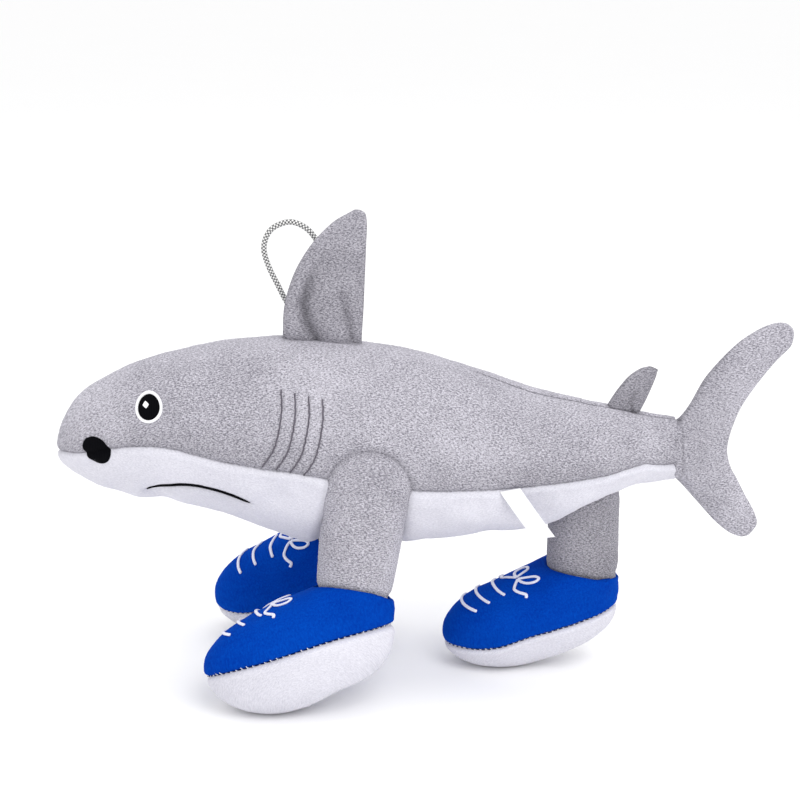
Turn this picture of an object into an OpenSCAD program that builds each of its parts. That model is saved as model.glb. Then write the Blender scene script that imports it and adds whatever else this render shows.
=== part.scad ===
// Plush shark that stands on three legs, each in a soft lace-up shoe.
// Every sewn panel, its filling, the embroidery, the label and the hanging cord are separate pieces.
// +Z is up, -X is the way the head points, and the soles rest on z = 0.

/* [Body] */
// Length from the snout to the end of the tail fin
length = 400; // [380:1:420]
// Thickness of the plush fabric
cloth = 1.6; // [1:0.1:2]
// Gap left between two pieces that are sewn together
seam_gap = 0.15; // [0.05:0.01:0.2]

/* [Legs] */
// Radius of a stuffed leg
leg_r = 20; // [18:0.5:20.5]
// Sideways distance from the middle to a front leg's hip
hip_y = 35; // [33:0.5:37]
// Sideways distance from the middle to a front ankle
ankle_y = 46; // [44:0.5:48]
// Height of a front hip
hip_z = 94; // [92:0.5:96]
// Height of a front ankle
ankle_z = 61; // [59.5:0.5:63]

/* [Shoes] */
// Length of a shoe along its sole seam
shoe_len = 103; // [98:1:106]
// Width of a shoe at the ball of the foot
shoe_w = 51; // [48:1:54]
// Depth of a front shoe's stuffed sole below its seam
front_sole_depth = 28.5; // [28:0.5:29.5]
// Depth of the rear shoe's stuffed sole below its seam
rear_sole_depth = 22; // [21.5:0.5:24]
// How far a front shoe points toes down
front_pitch = 15.5; // [12:0.5:18]
// How far a front shoe leans outward
front_roll = 18; // [14:0.5:20]
// How far the rear shoe points toes down
rear_pitch = 12; // [8:0.5:16]

/* [Trim] */
// Diameter of the hanging cord
cord_d = 3; // [2.5:0.1:3.5]
// Width of the care label
label_w = 11; // [9:0.5:13]
// Radius of the embroidered gill lines
gill_r = 0.7; // [0.5:0.05:1]
// Radius of the shoe laces
lace_r = 1; // [0.7:0.05:1.2]

/* [Hidden] */
$fn = 48;

grey = [0.68, 0.67, 0.71];
white = [0.92, 0.91, 0.95];
blue = [0.05, 0.28, 0.70];
black = [0.03, 0.03, 0.04];
gill_grey = [0.36, 0.34, 0.38];
silver = [0.72, 0.72, 0.74];
fibre = [0.97, 0.97, 0.96];

stretch = length / 400; // how far the body is stretched along X
LEFT = -1;              // the shark's left is -Y
RIGHT = 1;

// ---- small helpers ----
function clamp(v, low, high) = min(max(v, low), high);
function unit(v) = v / norm(v);
// v less an inset d, but never less than half of v
function shrink(v, d) = v > 2 * d ? v - d : v / 2;
// smooth curve through four neighbours, t from the second to the third
function spline(a, b, c, d, t) =
  0.5 * (2 * b + (c - a) * t + (2 * a - 5 * b + 4 * c - d) * t * t + (3 * b - a - 3 * c + d) * t * t * t);
// smooth value of a table of vectors at the real index u
function at(table, u) =
  let (last = len(table) - 1, i = clamp(floor(u), 0, last - 1), before = table[max(i - 1, 0)])
  spline(before, table[i], table[i + 1], table[min(i + 2, last)], u - i);
// real index at which column 0 of a rising table equals x
function index_of(table, x, low, high, steps = 16) =
  steps == 0 ? (low + high) / 2 :
  let (middle = (low + high) / 2)
  at(table, middle)[0] < x ? index_of(table, x, middle, high, steps - 1)
                           : index_of(table, x, low, middle, steps - 1);
function count_to(n) = [for (i = [0 : n]) i];
function reversed(list) = [for (i = [len(list) - 1 : -1 : 0]) list[i]];
function mirrored(points) = [for (p = points) [p.x, -p.y, p.z]];

// Closed solid through a row of rings with the same even number of points each.
// The ends are closed by strips between the two halves of a ring, so a ring may be a thin curved band.
module skin(rings) {
  n = len(rings[0]);
  last = len(rings) - 1;
  half = n / 2;
  walls = [
    for (j = [0 : last - 1], i = [0 : n - 1])
      [j * n + i, j * n + (i + 1) % n, (j + 1) * n + (i + 1) % n, (j + 1) * n + i]
  ];
  first_cap = [for (i = [0 : half - 2]) [i, n - 1 - i, n - 2 - i, i + 1]];
  last_cap = [for (f = first_cap) [for (k = reversed(f)) k + last * n]];
  polyhedron(concat([for (r = rings) each r]), concat(walls, first_cap, last_cap), convexity = 8);
}

// Thin band between an outer and an inner grid of points, one row per station
module band(outer, inner, flip = false) {
  rings = [for (j = count_to(len(outer) - 1)) concat(outer[j], reversed(inner[j]))];
  skin(flip ? rings : reversed(rings));
}

// Round cord of radius r, or of one radius for each point, swept along points
module tube(points, r, facing = [0, 0, 1], sides = 6, closed = false) {
  last = len(points) - 1;
  rings = [
    for (i = [0 : last])
      let (
        before = closed ? points[(i + last) % (last + 1)] : points[max(i - 1, 0)],
        after = closed ? points[(i + 1) % (last + 1)] : points[min(i + 1, last)],
        ahead = unit(after - before),
        side = unit(cross(ahead, facing)),
        up = cross(side, ahead),
        radius = is_list(r) ? r[i] : r
      )
      [for (k = [0 : sides - 1])
        points[i] + radius * (side * cos(360 * k / sides) + up * sin(360 * k / sides))]
  ];
  if (closed) {
    n = sides;
    polyhedron([for (ring = rings) each ring], [
      for (j = [0 : last], i = [0 : n - 1])
        [j * n + i, j * n + (i + 1) % n, ((j + 1) % (last + 1)) * n + (i + 1) % n, ((j + 1) % (last + 1)) * n + i]
    ], convexity = 8);
  } else {
    skin(rings);
  }
}

// ---- body surface ----
// stations along the body: [x, top z, bottom z, half width, z of the widest line]
BODY = [
  [-200, 131, 128, 1.5, 129.5],
  [-199, 136.5, 124.5, 7, 130],
  [-195, 145, 120.5, 12.5, 131],
  [-187, 157, 115.5, 18.5, 132],
  [-174, 168, 108.5, 25, 135.5],
  [-155, 177, 104.5, 31, 140],
  [-135, 183, 98.5, 36, 141],
  [-110, 187.5, 91.5, 40.5, 136],
  [-85, 188.5, 82.5, 44, 132],
  [-60, 187.5, 75.5, 46, 126],
  [-30, 184, 74.5, 46, 119.5],
  [0, 178.5, 76.5, 44, 116.5],
  [30, 169.5, 79.5, 39.5, 115],
  [60, 159.5, 82.5, 34, 115.5],
  [85, 154, 89, 29, 117],
  [110, 147.5, 102, 22.5, 119.5],
  [125, 144, 105.5, 17.5, 120],
  [137, 142, 105.5, 12.5, 119.5]
];
BODY_END = len(BODY) - 1;
BODY_CORE_END = BODY_END - 0.95; // the filling stops short of the tail's root
BODY_RINGS = 25;

function body_u(x) = index_of(BODY, x / stretch, 0, BODY_END);
// point of the body at station u, angle around it (0 top, 90 left, 180 bottom), inset by d
function body_point(u, angle, d = 0) =
  let (
    s = at(BODY, u),
    high = shrink(s[1] - s[4], d),
    low = shrink(s[4] - s[2], d),
    wide = shrink(s[3], d)
  )
  [s[0] * stretch, -wide * sin(angle), s[4] + (cos(angle) > 0 ? high : low) * cos(angle)];
function body_arc(u, a0, a1, steps, d = 0) =
  [for (i = count_to(steps)) body_point(u, a0 + (a1 - a0) * i / steps, d)];
function body_grid(a0, a1, steps, d = 0, end = BODY_END) =
  [for (j = count_to(BODY_RINGS)) body_arc(j * end / BODY_RINGS, a0, a1, steps, d)];
// angle around the body at which its surface has height z, at station u
function body_angle(u, z) =
  let (s = at(BODY, u), part = z > s[4] ? (z - s[4]) / (s[1] - s[4]) : (z - s[4]) / (s[4] - s[2]))
  acos(clamp(part, -1, 1));
// outward direction of the surface at station u and angle
function body_normal(u, angle) =
  let (
    along = body_point(min(u + 0.05, BODY_END), angle) - body_point(max(u - 0.05, 0), angle),
    around = body_point(u, angle + 1) - body_point(u, angle - 1)
  )
  unit(cross(around, along));
// left-hand surface point below [x, z], raised by rise
function on_side(x, z, rise = 0) =
  let (u = body_u(x * stretch), a = body_angle(u, z))
  body_point(u, a) + rise * body_normal(u, a);

module place_on_side(x, z, rise, tilt = 0) {
  u = body_u(x * stretch);
  a = body_angle(u, z);
  out = body_normal(u, a);
  level = unit(cross(out, [0, 0, 1]));
  rise_way = cross(level, out);
  c = body_point(u, a) + rise * out;
  multmatrix([
    [level.x, rise_way.x, out.x, c.x],
    [level.y, rise_way.y, out.y, c.y],
    [level.z, rise_way.z, out.z, c.z],
    [0, 0, 0, 1]
  ])
    rotate(tilt)
      children();
}

// ---- legs ----
// each leg is [hip centre, ankle centre]
FRONT_LEG_X = [-36, -41];
function front_leg(side) = [[FRONT_LEG_X[0], side * hip_y, hip_z], [FRONT_LEG_X[1], side * ankle_y, ankle_z]];
REAR_LEG = [[88, 0, 95], [88.5, 0, 52.5]];
function top_of_shoulder(side) =
  let (leg = front_leg(side)) leg[0] + shoulder_rise * unit(leg[0] - leg[1]);
shoulder_rise = 29;  // how far up the body's side a front leg's seam arches above its hip
leg_swing = 24;      // how far a leg swings each way, with a little to spare
leg_clear = 0.6;     // gap between a leg and the hollow it swings in
shoulder_wall = 1.9; // the gathered plush around the top of a front leg

// puts children made along -Z below the origin on the line from a to b
module along(a, b) {
  down = unit(b - a);
  side = unit(cross([0, 1, 0], -down));
  front = cross(-down, side);
  multmatrix([
    [side.x, front.x, -down.x, a.x],
    [side.y, front.y, -down.y, a.y],
    [side.z, front.z, -down.z, a.z],
    [0, 0, 0, 1]
  ])
    children();
}
// round-ended leg of radius r and length l below the origin
module sausage(r, l) {
  rotate_extrude()
    intersection() {
      union() {
        circle(r = r);
        translate([0, -l])
          circle(r = r);
        translate([-r, -l])
          square([2 * r, l]);
      }
      translate([0, -l - r])
        square([r, l + 2 * r]);
    }
}
// the hollow in the body that a leg needs through its whole swing
module leg_hollow(leg) {
  reach = 45;
  flats = 16;
  r = (leg_r + leg_clear) / cos(180 / flats);
  hull() {
    for (swing = [-leg_swing, 0, leg_swing])
      translate(leg[0])
        rotate([0, swing, 0])
          translate(-leg[0])
            along(leg[0], leg[1]) {
              sphere(r = r, $fn = flats);
              translate([0, 0, -reach])
                cylinder(r = r, h = reach, $fn = flats);
            }
  }
}
module shoulder_form(side, grow = 0) {
  leg = front_leg(side);
  top = top_of_shoulder(side);
  r = leg_r + leg_clear + shoulder_wall + grow;
  along(top, leg[0]) {
    sphere(r = r);
    translate([0, 0, -norm(top - leg[0])])
      cylinder(r = r, h = norm(top - leg[0]));
  }
}
module body_hollows(sides = [LEFT, RIGHT]) {
  for (side = sides) {
    leg_hollow(front_leg(side));
    shoulder_form(side, 2 * seam_gap);
  }
  leg_hollow(REAR_LEG);
}
module shoulder(side) {
  leg = front_leg(side);
  rim = 10; // the shoulder stops above the hip's centre, so the leg can swing under it
  color(grey)
    difference() {
      shoulder_form(side);
      along(leg[0], leg[1]) {
        sphere(r = leg_r + leg_clear);
        translate([0, 0, rim - 60])
          cylinder(r = 60, h = 60);
      }
    }
}
module leg_sleeve(leg) {
  color(grey)
    along(leg[0], leg[1])
      difference() {
        sausage(leg_r, norm(leg[1] - leg[0]));
        sausage(leg_r - cloth, norm(leg[1] - leg[0]));
      }
}
module leg_stuffing(leg) {
  color(fibre)
    along(leg[0], leg[1])
      sausage(leg_r - cloth - seam_gap, norm(leg[1] - leg[0]));
}

// ---- body panels and embroidery ----
module side_panel(side) {
  color(grey)
    difference() {
      if (side == LEFT)
        band(body_grid(0.4, 89.7, 9), body_grid(0.4, 89.7, 9, cloth));
      else
        band(body_grid(-0.4, -89.7, 9), body_grid(-0.4, -89.7, 9, cloth), true);
      body_hollows([side]);
    }
}
module belly_panel() {
  color(white)
    difference() {
      band(body_grid(90.3, 269.7, 14), body_grid(90.3, 269.7, 14, cloth));
      body_hollows();
    }
}
module body_stuffing() {
  inset = cloth + 5 * seam_gap;
  steps = 16;
  color(fibre)
    difference() {
      skin([
        for (j = reversed(count_to(BODY_RINGS - 4)))
          let (u = 0.6 + j * (BODY_CORE_END - 0.6) / (BODY_RINGS - 4))
          [for (i = [0 : steps - 1]) body_point(u, 360 * i / steps, inset)]
      ]);
      body_hollows();
    }
}
module back_seam() {
  color(grey)
    tube([for (x = [-190 : 12 : -90]) body_point(body_u(x * stretch), 0, -0.1)], 0.5, [0, 1, 0]);
  color(grey)
    tube([for (x = [-24 : 12 : 84]) body_point(body_u(x * stretch), 0, -0.1)], 0.5, [0, 1, 0]);
}
// the line tapers to its two ends
MOUTH = [[-150, 114.5], [-141, 117.5], [-132, 118.8], [-122, 118], [-112, 115.6], [-103, 112.6], [-94.5, 109]];
module mouth_line() {
  thick = [0.4, 0.7, 0.8, 0.8, 0.8, 0.7, 0.4];
  points = [for (p = MOUTH) on_side(p[0], p[1], 0.3)];
  color(black)
    tube(points, thick, [0, 0, 1]);
  color(black)
    tube(reversed(mirrored(points)), thick, [0, 0, 1]);
}
GILL = [[-77.5, 169.5], [-77.3, 160], [-79, 149.5], [-82, 139.5], [-88, 130.5]];
gill_step = 7.1; // distance from one gill line to the next
module gill_lines(side) {
  for (k = [0 : 3]) {
    points = [for (p = GILL) on_side(p[0] + k * gill_step, p[1] - k * 1.6, 0.25)];
    color(gill_grey)
      tube(side == LEFT ? points : reversed(mirrored(points)), gill_r, [1, 0, 0]);
  }
}
module on_face(side) {
  if (side == LEFT)
    children();
  else
    mirror([0, 1, 0])
      children();
}
EYE = [-146, 160.5];
NOSTRIL = [-174, 136];
pupil_r = 6.2;
module eye_ring(side) {
  color(white)
    on_face(side)
      place_on_side(EYE[0], EYE[1], 0.2)
        difference() {
          scale([1, 1.09, 0.16])
            sphere(r = pupil_r + 1.2);
          cylinder(r = pupil_r, h = 20, center = true);
        }
}
module eye_pupil(side) {
  color(black)
    on_face(side)
      place_on_side(EYE[0], EYE[1], 0.2)
        scale([1, 1, 0.22])
          sphere(r = pupil_r - 0.1);
}
module eye_glint(side) {
  color(white)
    on_face(side)
      place_on_side(EYE[0], EYE[1], 1.6)
        translate([side * -2.2, 1.6, 0])
          rotate(45)
            cube([2.2, 2.2, 0.6], center = true);
}
module nostril(side) {
  color(black)
    on_face(side)
      place_on_side(NOSTRIL[0], NOSTRIL[1], 0.1, 20)
        scale([1.1, 0.95, 0.2])
          sphere(r = 6.9);
}

// ---- fins ----
// A fin is a row of stations [front x, front z, rear x, rear z, half thickness, nose], where nose is
// the share of the chord ahead of the thickest place.
function fin_shape(s, nose) =
  s < nose ? sqrt(max(0, 1 - pow(1 - s / nose, 2)))
           : pow(max(0, 1 - pow((s - nose) / (1 - nose), 2)), 0.7);
// point of a fin at station v, share s of the chord, on one side, inset by d
function fin_point(fin, v, s, side, d) =
  let (
    f = at(fin, v),
    chord = norm([f[2] - f[0], f[3] - f[1]]),
    trim = d / chord,
    sd = trim + (1 - 2 * trim) * s,
    wide = f[4] * fin_shape(sd, f[5])
  )
  [f[0] + sd * (f[2] - f[0]), side * max(shrink(wide, d), 0.02), f[1] + sd * (f[3] - f[1])];
function fin_row(fin, v, side, d, steps) =
  [for (i = count_to(steps)) fin_point(fin, v, 0.5 - 0.5 * cos(180 * i / steps), side, d)];
// rolls a fin's root round, under the axis it flops about: row at share a of the quarter turn
function root_row(fin, side, d, steps, a) =
  let (middle = (fin[0][0] + fin[0][2]) / 2)
  [
    for (p = fin_row(fin, 0, side, d, steps))
      [p.x + 0.06 * sin(a) * (middle - p.x), p.y * cos(a), p.z - (abs(p.y) + 0.8) * sin(a)]
  ];
ROOT_TURNS = [60, 30];
function fin_grid(fin, side, d, steps, rings, round_root, trim_v) =
  concat(
    round_root ? [for (a = ROOT_TURNS) root_row(fin, side, d, steps, a)] : [],
    [for (j = count_to(rings))
      fin_row(fin, trim_v + (len(fin) - 1 - 2 * trim_v) * j / rings, side, d, steps)]
  );
// the two faces meet on the middle plane with the seam's gap between them
function open_middle(grid) =
  [for (row = grid) [for (p = row) [p.x, min(p.y, -seam_gap), p.z]]];
module fin_panel(fin, side, steps, rings, round_root = false, skin_t = cloth) {
  outer = fin_grid(fin, LEFT, 0, steps, rings, round_root, 0);
  inner = fin_grid(fin, LEFT, skin_t, steps, rings, round_root, 0);
  lifted = [for (row = outer) [for (p = row) p - [0, 2 * seam_gap, 0]]];
  color(grey)
    on_face(side)
      band(lifted, open_middle(inner));
}
module fin_stuffing(fin, steps, rings, round_root = false, skin_t = cloth) {
  d = skin_t + seam_gap;
  trim_v = 0.12;
  left = fin_grid(fin, LEFT, d, steps, rings, round_root, trim_v);
  right = fin_grid(fin, RIGHT, d, steps, rings, round_root, trim_v);
  // the faces stay clear of the panels along the edges, where the filling runs out
  function thin(row) = [for (i = [1 : steps - 1]) [row[i].x, 0.85 * row[i].y, row[i].z]];
  color(fibre)
    skin([for (j = reversed(count_to(len(left) - 1))) concat(thin(left[j]), reversed(thin(right[j])))]);
}

// the dorsal fin flops about a line just above the back
DORSAL = [
  [-77.5, 195, -34, 191.5, 5, 0.4],
  [-76, 204, -33.6, 202, 5, 0.4],
  [-73.5, 215, -33, 214, 4.8, 0.4],
  [-68.5, 227.5, -32.4, 227, 4.3, 0.4],
  [-60, 240.5, -31.8, 240, 3.7, 0.4],
  [-49.5, 251, -31.4, 250, 3, 0.4],
  [-41, 256, -32.2, 255.5, 2.3, 0.4],
  [-38, 257.6, -34.6, 257.4, 1.5, 0.4]
];
SECOND_DORSAL = [
  [97.5, 155.4, 118.5, 149.9, 3.6, 0.4],
  [102.5, 159.5, 120.5, 153.3, 3.5, 0.4],
  [108.6, 165.5, 123.6, 160.3, 3, 0.4],
  [115.4, 169.6, 125.7, 166.4, 2.4, 0.4],
  [121, 171, 126.2, 169.5, 1.6, 0.4]
];
tail_x = 139;       // the tail turns about an upright line here
tail_root_r = 9.5;  // the tail's root, inside the end of the body
TAIL = [
  [177, 71.8, 182, 72.8, 1, 0.4],
  [170.5, 74.5, 186, 79, 3.2, 0.4],
  [162, 81.5, 184, 86.5, 4.6, 0.4],
  [152.5, 92, 178, 97, 5.6, 0.4],
  [144.5, 101, 173, 106.5, 6.8, 0.35],
  [139.6, 106.2, 170, 111.5, 7.2, 0.3],
  [132.5, 112.5, 168, 117, 8.2, 0.26],
  [tail_x - tail_root_r, 123.5, 167, 123.5, tail_root_r, 0.27],
  [132.5, 134, 168, 131, 8.2, 0.26],
  [139.6, 141.3, 170, 138, 7.2, 0.3],
  [145, 149, 173.5, 147, 6.6, 0.35],
  [153.5, 165, 180.5, 158.5, 5.4, 0.4],
  [168, 181.5, 191, 172.5, 4.5, 0.4],
  [183, 192, 199.4, 182.5, 3.4, 0.4],
  [193.5, 194.4, 199.6, 190, 1.6, 0.4]
];

// ---- label and hanging cord ----
LABEL_TOP = [42, -39.6, 114];
LABEL_FOOT = [61, -37.5, 87];
module care_label() {
  thick = 0.5;
  steps = 8;
  rows = [
    for (j = count_to(steps))
      let (
        t = j / steps,
        // the ribbon leaves the seam outward and bows a little on its way down
        middle = LABEL_TOP + (LABEL_FOOT - LABEL_TOP) * t + [0, -1.6 * sin(180 * t), 0],
        across = (label_w / 2) * unit([1, -0.1, 0.2])
      )
      [middle - across, middle + across]
  ];
  color(white)
    skin([
      for (r = rows)
        [r[0] + [0, -thick, 0], r[1] + [0, -thick, 0], r[1], r[0]]
    ]);
}
// the cord leaves the far side of the dorsal fin's root, loops up in front of it and comes back
LOOP = [
  [-63, 7.4, 194], [-68, 8.4, 199], [-74, 9.5, 206], [-79, 9.5, 216], [-84, 9.5, 227], [-86, 9.5, 237],
  [-82, 9.5, 246], [-72.5, 9.5, 250], [-64, 9.5, 247], [-58, 9.5, 240], [-53.5, 9.5, 230],
  [-51, 9.5, 219], [-50, 9.5, 208], [-51, 8.4, 199], [-53, 7.4, 194]
];
module hang_loop() {
  per_point = 3; // rings between two points of the route
  points = [for (k = count_to((len(LOOP) - 1) * per_point)) at(LOOP, k / per_point)];
  color(silver)
    tube(points, cord_d / 2, [0, 1, 0]);
}

// ---- shoes ----
// A shoe is drawn with its toe at the origin, its heel toward +x and its sole seam on z = 0.
// Its upper is a row of level-ended rings from the seam to the collar: toe end, heel end, half width,
// and how much wider the front is than the back.
UPPER = [
  [0, 0, 103, 0, 24.6, 0.12],
  [0.4, 5.5, 105, 3.6, 25.4, 0.12],
  [4.5, 12, 106.5, 6.8, 25.2, 0.1],
  [15, 19, 107, 9.4, 24.5, 0.07],
  [31, 24, 107.2, 10.8, 23.8, 0.04],
  [49.5, 27.4, 107, 11.6, 23.2, 0.02],
  [66.5, 30.6, 106.8, 12, 22.6, 0]
];
UPPER_END = len(UPPER) - 1;
ANKLE = [86.7, 21.3]; // centre of the collar, where the leg's round end sits
SHOE_MIDDLE = [52, 0, 0];
shoe_cloth = 1.3;     // the thin nap of the shoe's fabric
around = 24;          // points around a shoe

// A shoe's pose is [ankle centre, pitch, roll, sole depth, length against a front shoe].
// a place in the shoe to the place in the whole
function shoe_out(pose, p) =
  let (
    pitch = pose[1],
    roll = pose[2],
    heel_way = [cos(pitch), 0, sin(pitch)],
    up0 = [-sin(pitch), 0, cos(pitch)],
    up = cos(roll) * up0 + sin(roll) * [0, 1, 0],
    over = cos(roll) * [0, 1, 0] - sin(roll) * up0,
    q = p - [ANKLE[0], 0, ANKLE[1]]
  )
  pose[0] + q.x * heel_way * (pose[4] * shoe_len / 103) + q.y * over * (shoe_w / 51) + q.z * up;
function thinner(p, t) =
  [
    SHOE_MIDDLE.x + (p.x - SHOE_MIDDLE.x) * (1 - t / 52),
    p.y * (1 - t / 25),
    p.z * (1 - t / 30)
  ];
function bulge(v, power) = sign(v) * pow(abs(v), power);
function upper_point(j, a, t = 0) =
  let (
    r = at(UPPER, j),
    c = [(r[0] + r[2]) / 2, (r[1] + r[3]) / 2],
    half = [(r[2] - r[0]) / 2, (r[3] - r[1]) / 2]
  )
  thinner([
    c[0] - half[0] * cos(a),
    r[4] * bulge(sin(a), j < 5 ? 0.94 : 1) * (1 + r[5] * cos(a)),
    c[1] - half[1] * cos(a)
  ], t);
// the stuffed sole below the seam, down at angle b from 0 at the seam to 90 at its lowest
function sole_point(b, a, depth, t = 0) =
  let (rim = upper_point(0, a), inward = pow(cos(b), 0.75))
  thinner([
    SHOE_MIDDLE.x + (rim.x - SHOE_MIDDLE.x) * inward,
    rim.y * inward,
    -depth * sin(b) * (1 + 0.06 * cos(a))
  ], t);
// the shoe stretches round the end of the leg: a place too near the ankle moves out
function off_ankle(pose, q, gap) =
  let (v = q - pose[0], reach = norm(v))
  reach < leg_r + gap ? pose[0] + v * (leg_r + gap) / reach : q;
function shoe_ring(points, pose, floor_z, gap = 0) =
  [for (p = points) let (q = off_ankle(pose, shoe_out(pose, p), gap)) [q.x, q.y, max(q.z, floor_z)]];
function upper_ring(j, pose, t) =
  shoe_ring([for (i = [0 : around - 1]) upper_point(j, 360 * i / around, t)], pose, 0, t > 0 ? 0.8 : 1.9);
function sole_ring(b, pose, t) =
  shoe_ring([for (i = [0 : around - 1]) sole_point(b, 360 * i / around, pose[3], t)], pose, t);
SOLE_STEPS = [1, 16, 32, 48, 63, 76, 86];
UPPER_STEPS = [0.02, 1, 2, 3, 4, 5, 6];

function front_shoe(side) =
  [front_leg(side)[1], front_pitch, side == LEFT ? front_roll : -front_roll, front_sole_depth, 1];
REAR_SHOE = [REAR_LEG[1], rear_pitch, 0, rear_sole_depth, 0.965];
socket_r = leg_r + 1.2; // the collar is a little wider than the leg, so the ankle can bend

// tube-like solid between an outer and an inner stack of whole rings
module wrap(outer, inner) {
  rings = concat(outer, reversed(inner));
  n = len(rings[0]);
  last = len(rings) - 1;
  polyhedron([for (r = rings) each r], [
    for (j = [0 : last], i = [0 : n - 1])
      [j * n + i, j * n + (i + 1) % n, ((j + 1) % (last + 1)) * n + (i + 1) % n, ((j + 1) % (last + 1)) * n + i]
  ], convexity = 6);
}
module shoe_upper(pose) {
  color(blue)
    wrap(
      [for (j = UPPER_STEPS) upper_ring(j, pose, 0)],
      [for (j = UPPER_STEPS) upper_ring(j, pose, shoe_cloth)]
    );
}
module shoe_sole(pose) {
  outer = [for (b = SOLE_STEPS) sole_ring(b, pose, 0)];
  inner = [for (b = SOLE_STEPS) sole_ring(b, pose, cloth)];
  n = around;
  rings = concat(reversed(outer), inner);
  last = len(rings) - 1;
  walls = [
    for (j = [0 : last - 1], i = [0 : n - 1])
      [j * n + i, j * n + (i + 1) % n, (j + 1) * n + (i + 1) % n, (j + 1) * n + i]
  ];
  caps = [
    for (i = [0 : n / 2 - 2]) [n - 1 - i, n - 2 - i, i + 1, i],
    for (i = [0 : n / 2 - 2]) [for (k = [i, i + 1, n - 2 - i, n - 1 - i]) k + last * n]
  ];
  color(white)
    polyhedron([for (r = rings) each r], concat(walls, caps), convexity = 6);
}
module shoe_stuffing(pose) {
  t = cloth + 4 * seam_gap;
  color(fibre)
    difference() {
      skin(concat(
        [for (b = reversed(SOLE_STEPS)) sole_ring(b, pose, t)],
        [for (j = [1 : UPPER_END - 1]) upper_ring(j, pose, t)]
      ));
      translate(pose[0])
        sphere(r = socket_r);
    }
}
module shoe_sole_seam(pose) {
  color(blue)
    tube([for (i = [0 : 29]) shoe_out(pose, thinner(upper_point(0, 12 * i), -0.5))], 0.7, [0, 0, 1], 6, true);
}
// Laces lie over the instep: three bars and a bow. A lace's points are [ring, angle off the ridge].
function lace_line(points, pose) =
  [for (p = points) let (q = upper_point(p[0], p[1] < 0 ? 360 + p[1] : p[1], -0.8)) shoe_out(pose, q)];
BARS = [3.15, 3.75, 4.35];
// the left half of the bow, a loop and a tail; the right half mirrors it
BOW = [
  [[5.4, 4], [5.1, 17], [5.2, 30], [5.5, 33], [5.65, 22], [5.65, 11]],
  [[5.05, 4], [4.8, 11], [4.6, 22], [4.3, 32]]
];
module shoe_laces(pose) {
  rise = shoe_out(pose, [60, 0, 40]) - shoe_out(pose, [60, 0, 0]);
  color(white) {
    for (ring = BARS)
      tube(lace_line([for (k = [-3 : 3]) [ring - 0.035 * k * k, 10 * k]], pose), lace_r, rise);
    for (line = BOW, half = [1, -1])
      tube(lace_line([for (k = count_to(2 * (len(line) - 1))) let (q = at(line, k / 2)) [q[0], half * q[1]]], pose),
        lace_r, rise);
  }
}

// ---- named pieces ----
module side_panel_left() { side_panel(LEFT); }
module side_panel_right() { side_panel(RIGHT); }
module dorsal_panel(side) { fin_panel(DORSAL, side, 8, 10, true, 1.2); }
module second_dorsal_panel(side) { fin_panel(SECOND_DORSAL, side, 6, 5, true, 1); }
module tail_panel(side) { fin_panel(TAIL, side, 10, 18); }

side_panel_left();
side_panel_right();
belly_panel();
body_stuffing();
shoulder(LEFT);  // shoulder_left
shoulder(RIGHT);  // shoulder_right
back_seam();
mouth_line();
gill_lines(LEFT);  // gill_lines_left
gill_lines(RIGHT);  // gill_lines_right
nostril(LEFT);  // nostril_left
nostril(RIGHT);  // nostril_right
eye_ring(LEFT);  // eye_ring_left
eye_pupil(LEFT);  // eye_pupil_left
eye_glint(LEFT);  // eye_glint_left
eye_ring(RIGHT);  // eye_ring_right
eye_pupil(RIGHT);  // eye_pupil_right
eye_glint(RIGHT);  // eye_glint_right
dorsal_panel(LEFT);  // dorsal_panel_left
dorsal_panel(RIGHT);  // dorsal_panel_right
fin_stuffing(DORSAL, 8, 10, true, 1.2);  // dorsal_stuffing
second_dorsal_panel(LEFT);  // second_dorsal_left
second_dorsal_panel(RIGHT);  // second_dorsal_right
fin_stuffing(SECOND_DORSAL, 6, 5, true, 1);  // second_dorsal_stuffing
tail_panel(LEFT);  // tail_panel_left
tail_panel(RIGHT);  // tail_panel_right
fin_stuffing(TAIL, 10, 18);  // tail_stuffing
care_label();
hang_loop();
leg_sleeve(front_leg(LEFT));  // front_left_leg
leg_stuffing(front_leg(LEFT));  // front_left_leg_stuffing
shoe_upper(front_shoe(LEFT));  // front_left_upper
shoe_sole(front_shoe(LEFT));  // front_left_sole
shoe_stuffing(front_shoe(LEFT));  // front_left_shoe_stuffing
shoe_laces(front_shoe(LEFT));  // front_left_laces
shoe_sole_seam(front_shoe(LEFT));  // front_left_sole_seam
leg_sleeve(front_leg(RIGHT));  // front_right_leg
leg_stuffing(front_leg(RIGHT));  // front_right_leg_stuffing
shoe_upper(front_shoe(RIGHT));  // front_right_upper
shoe_sole(front_shoe(RIGHT));  // front_right_sole
shoe_stuffing(front_shoe(RIGHT));  // front_right_shoe_stuffing
shoe_laces(front_shoe(RIGHT));  // front_right_laces
shoe_sole_seam(front_shoe(RIGHT));  // front_right_sole_seam
leg_sleeve(REAR_LEG);  // rear_leg
leg_stuffing(REAR_LEG);  // rear_leg_stuffing
shoe_upper(REAR_SHOE);  // rear_upper
shoe_sole(REAR_SHOE);  // rear_sole
shoe_stuffing(REAR_SHOE);  // rear_shoe_stuffing
shoe_laces(REAR_SHOE);  // rear_laces
shoe_sole_seam(REAR_SHOE);  // rear_sole_seam
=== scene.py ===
"""Looks of the plush shark: fabric, stitching, filling, cord and label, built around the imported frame."""
import math

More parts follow.
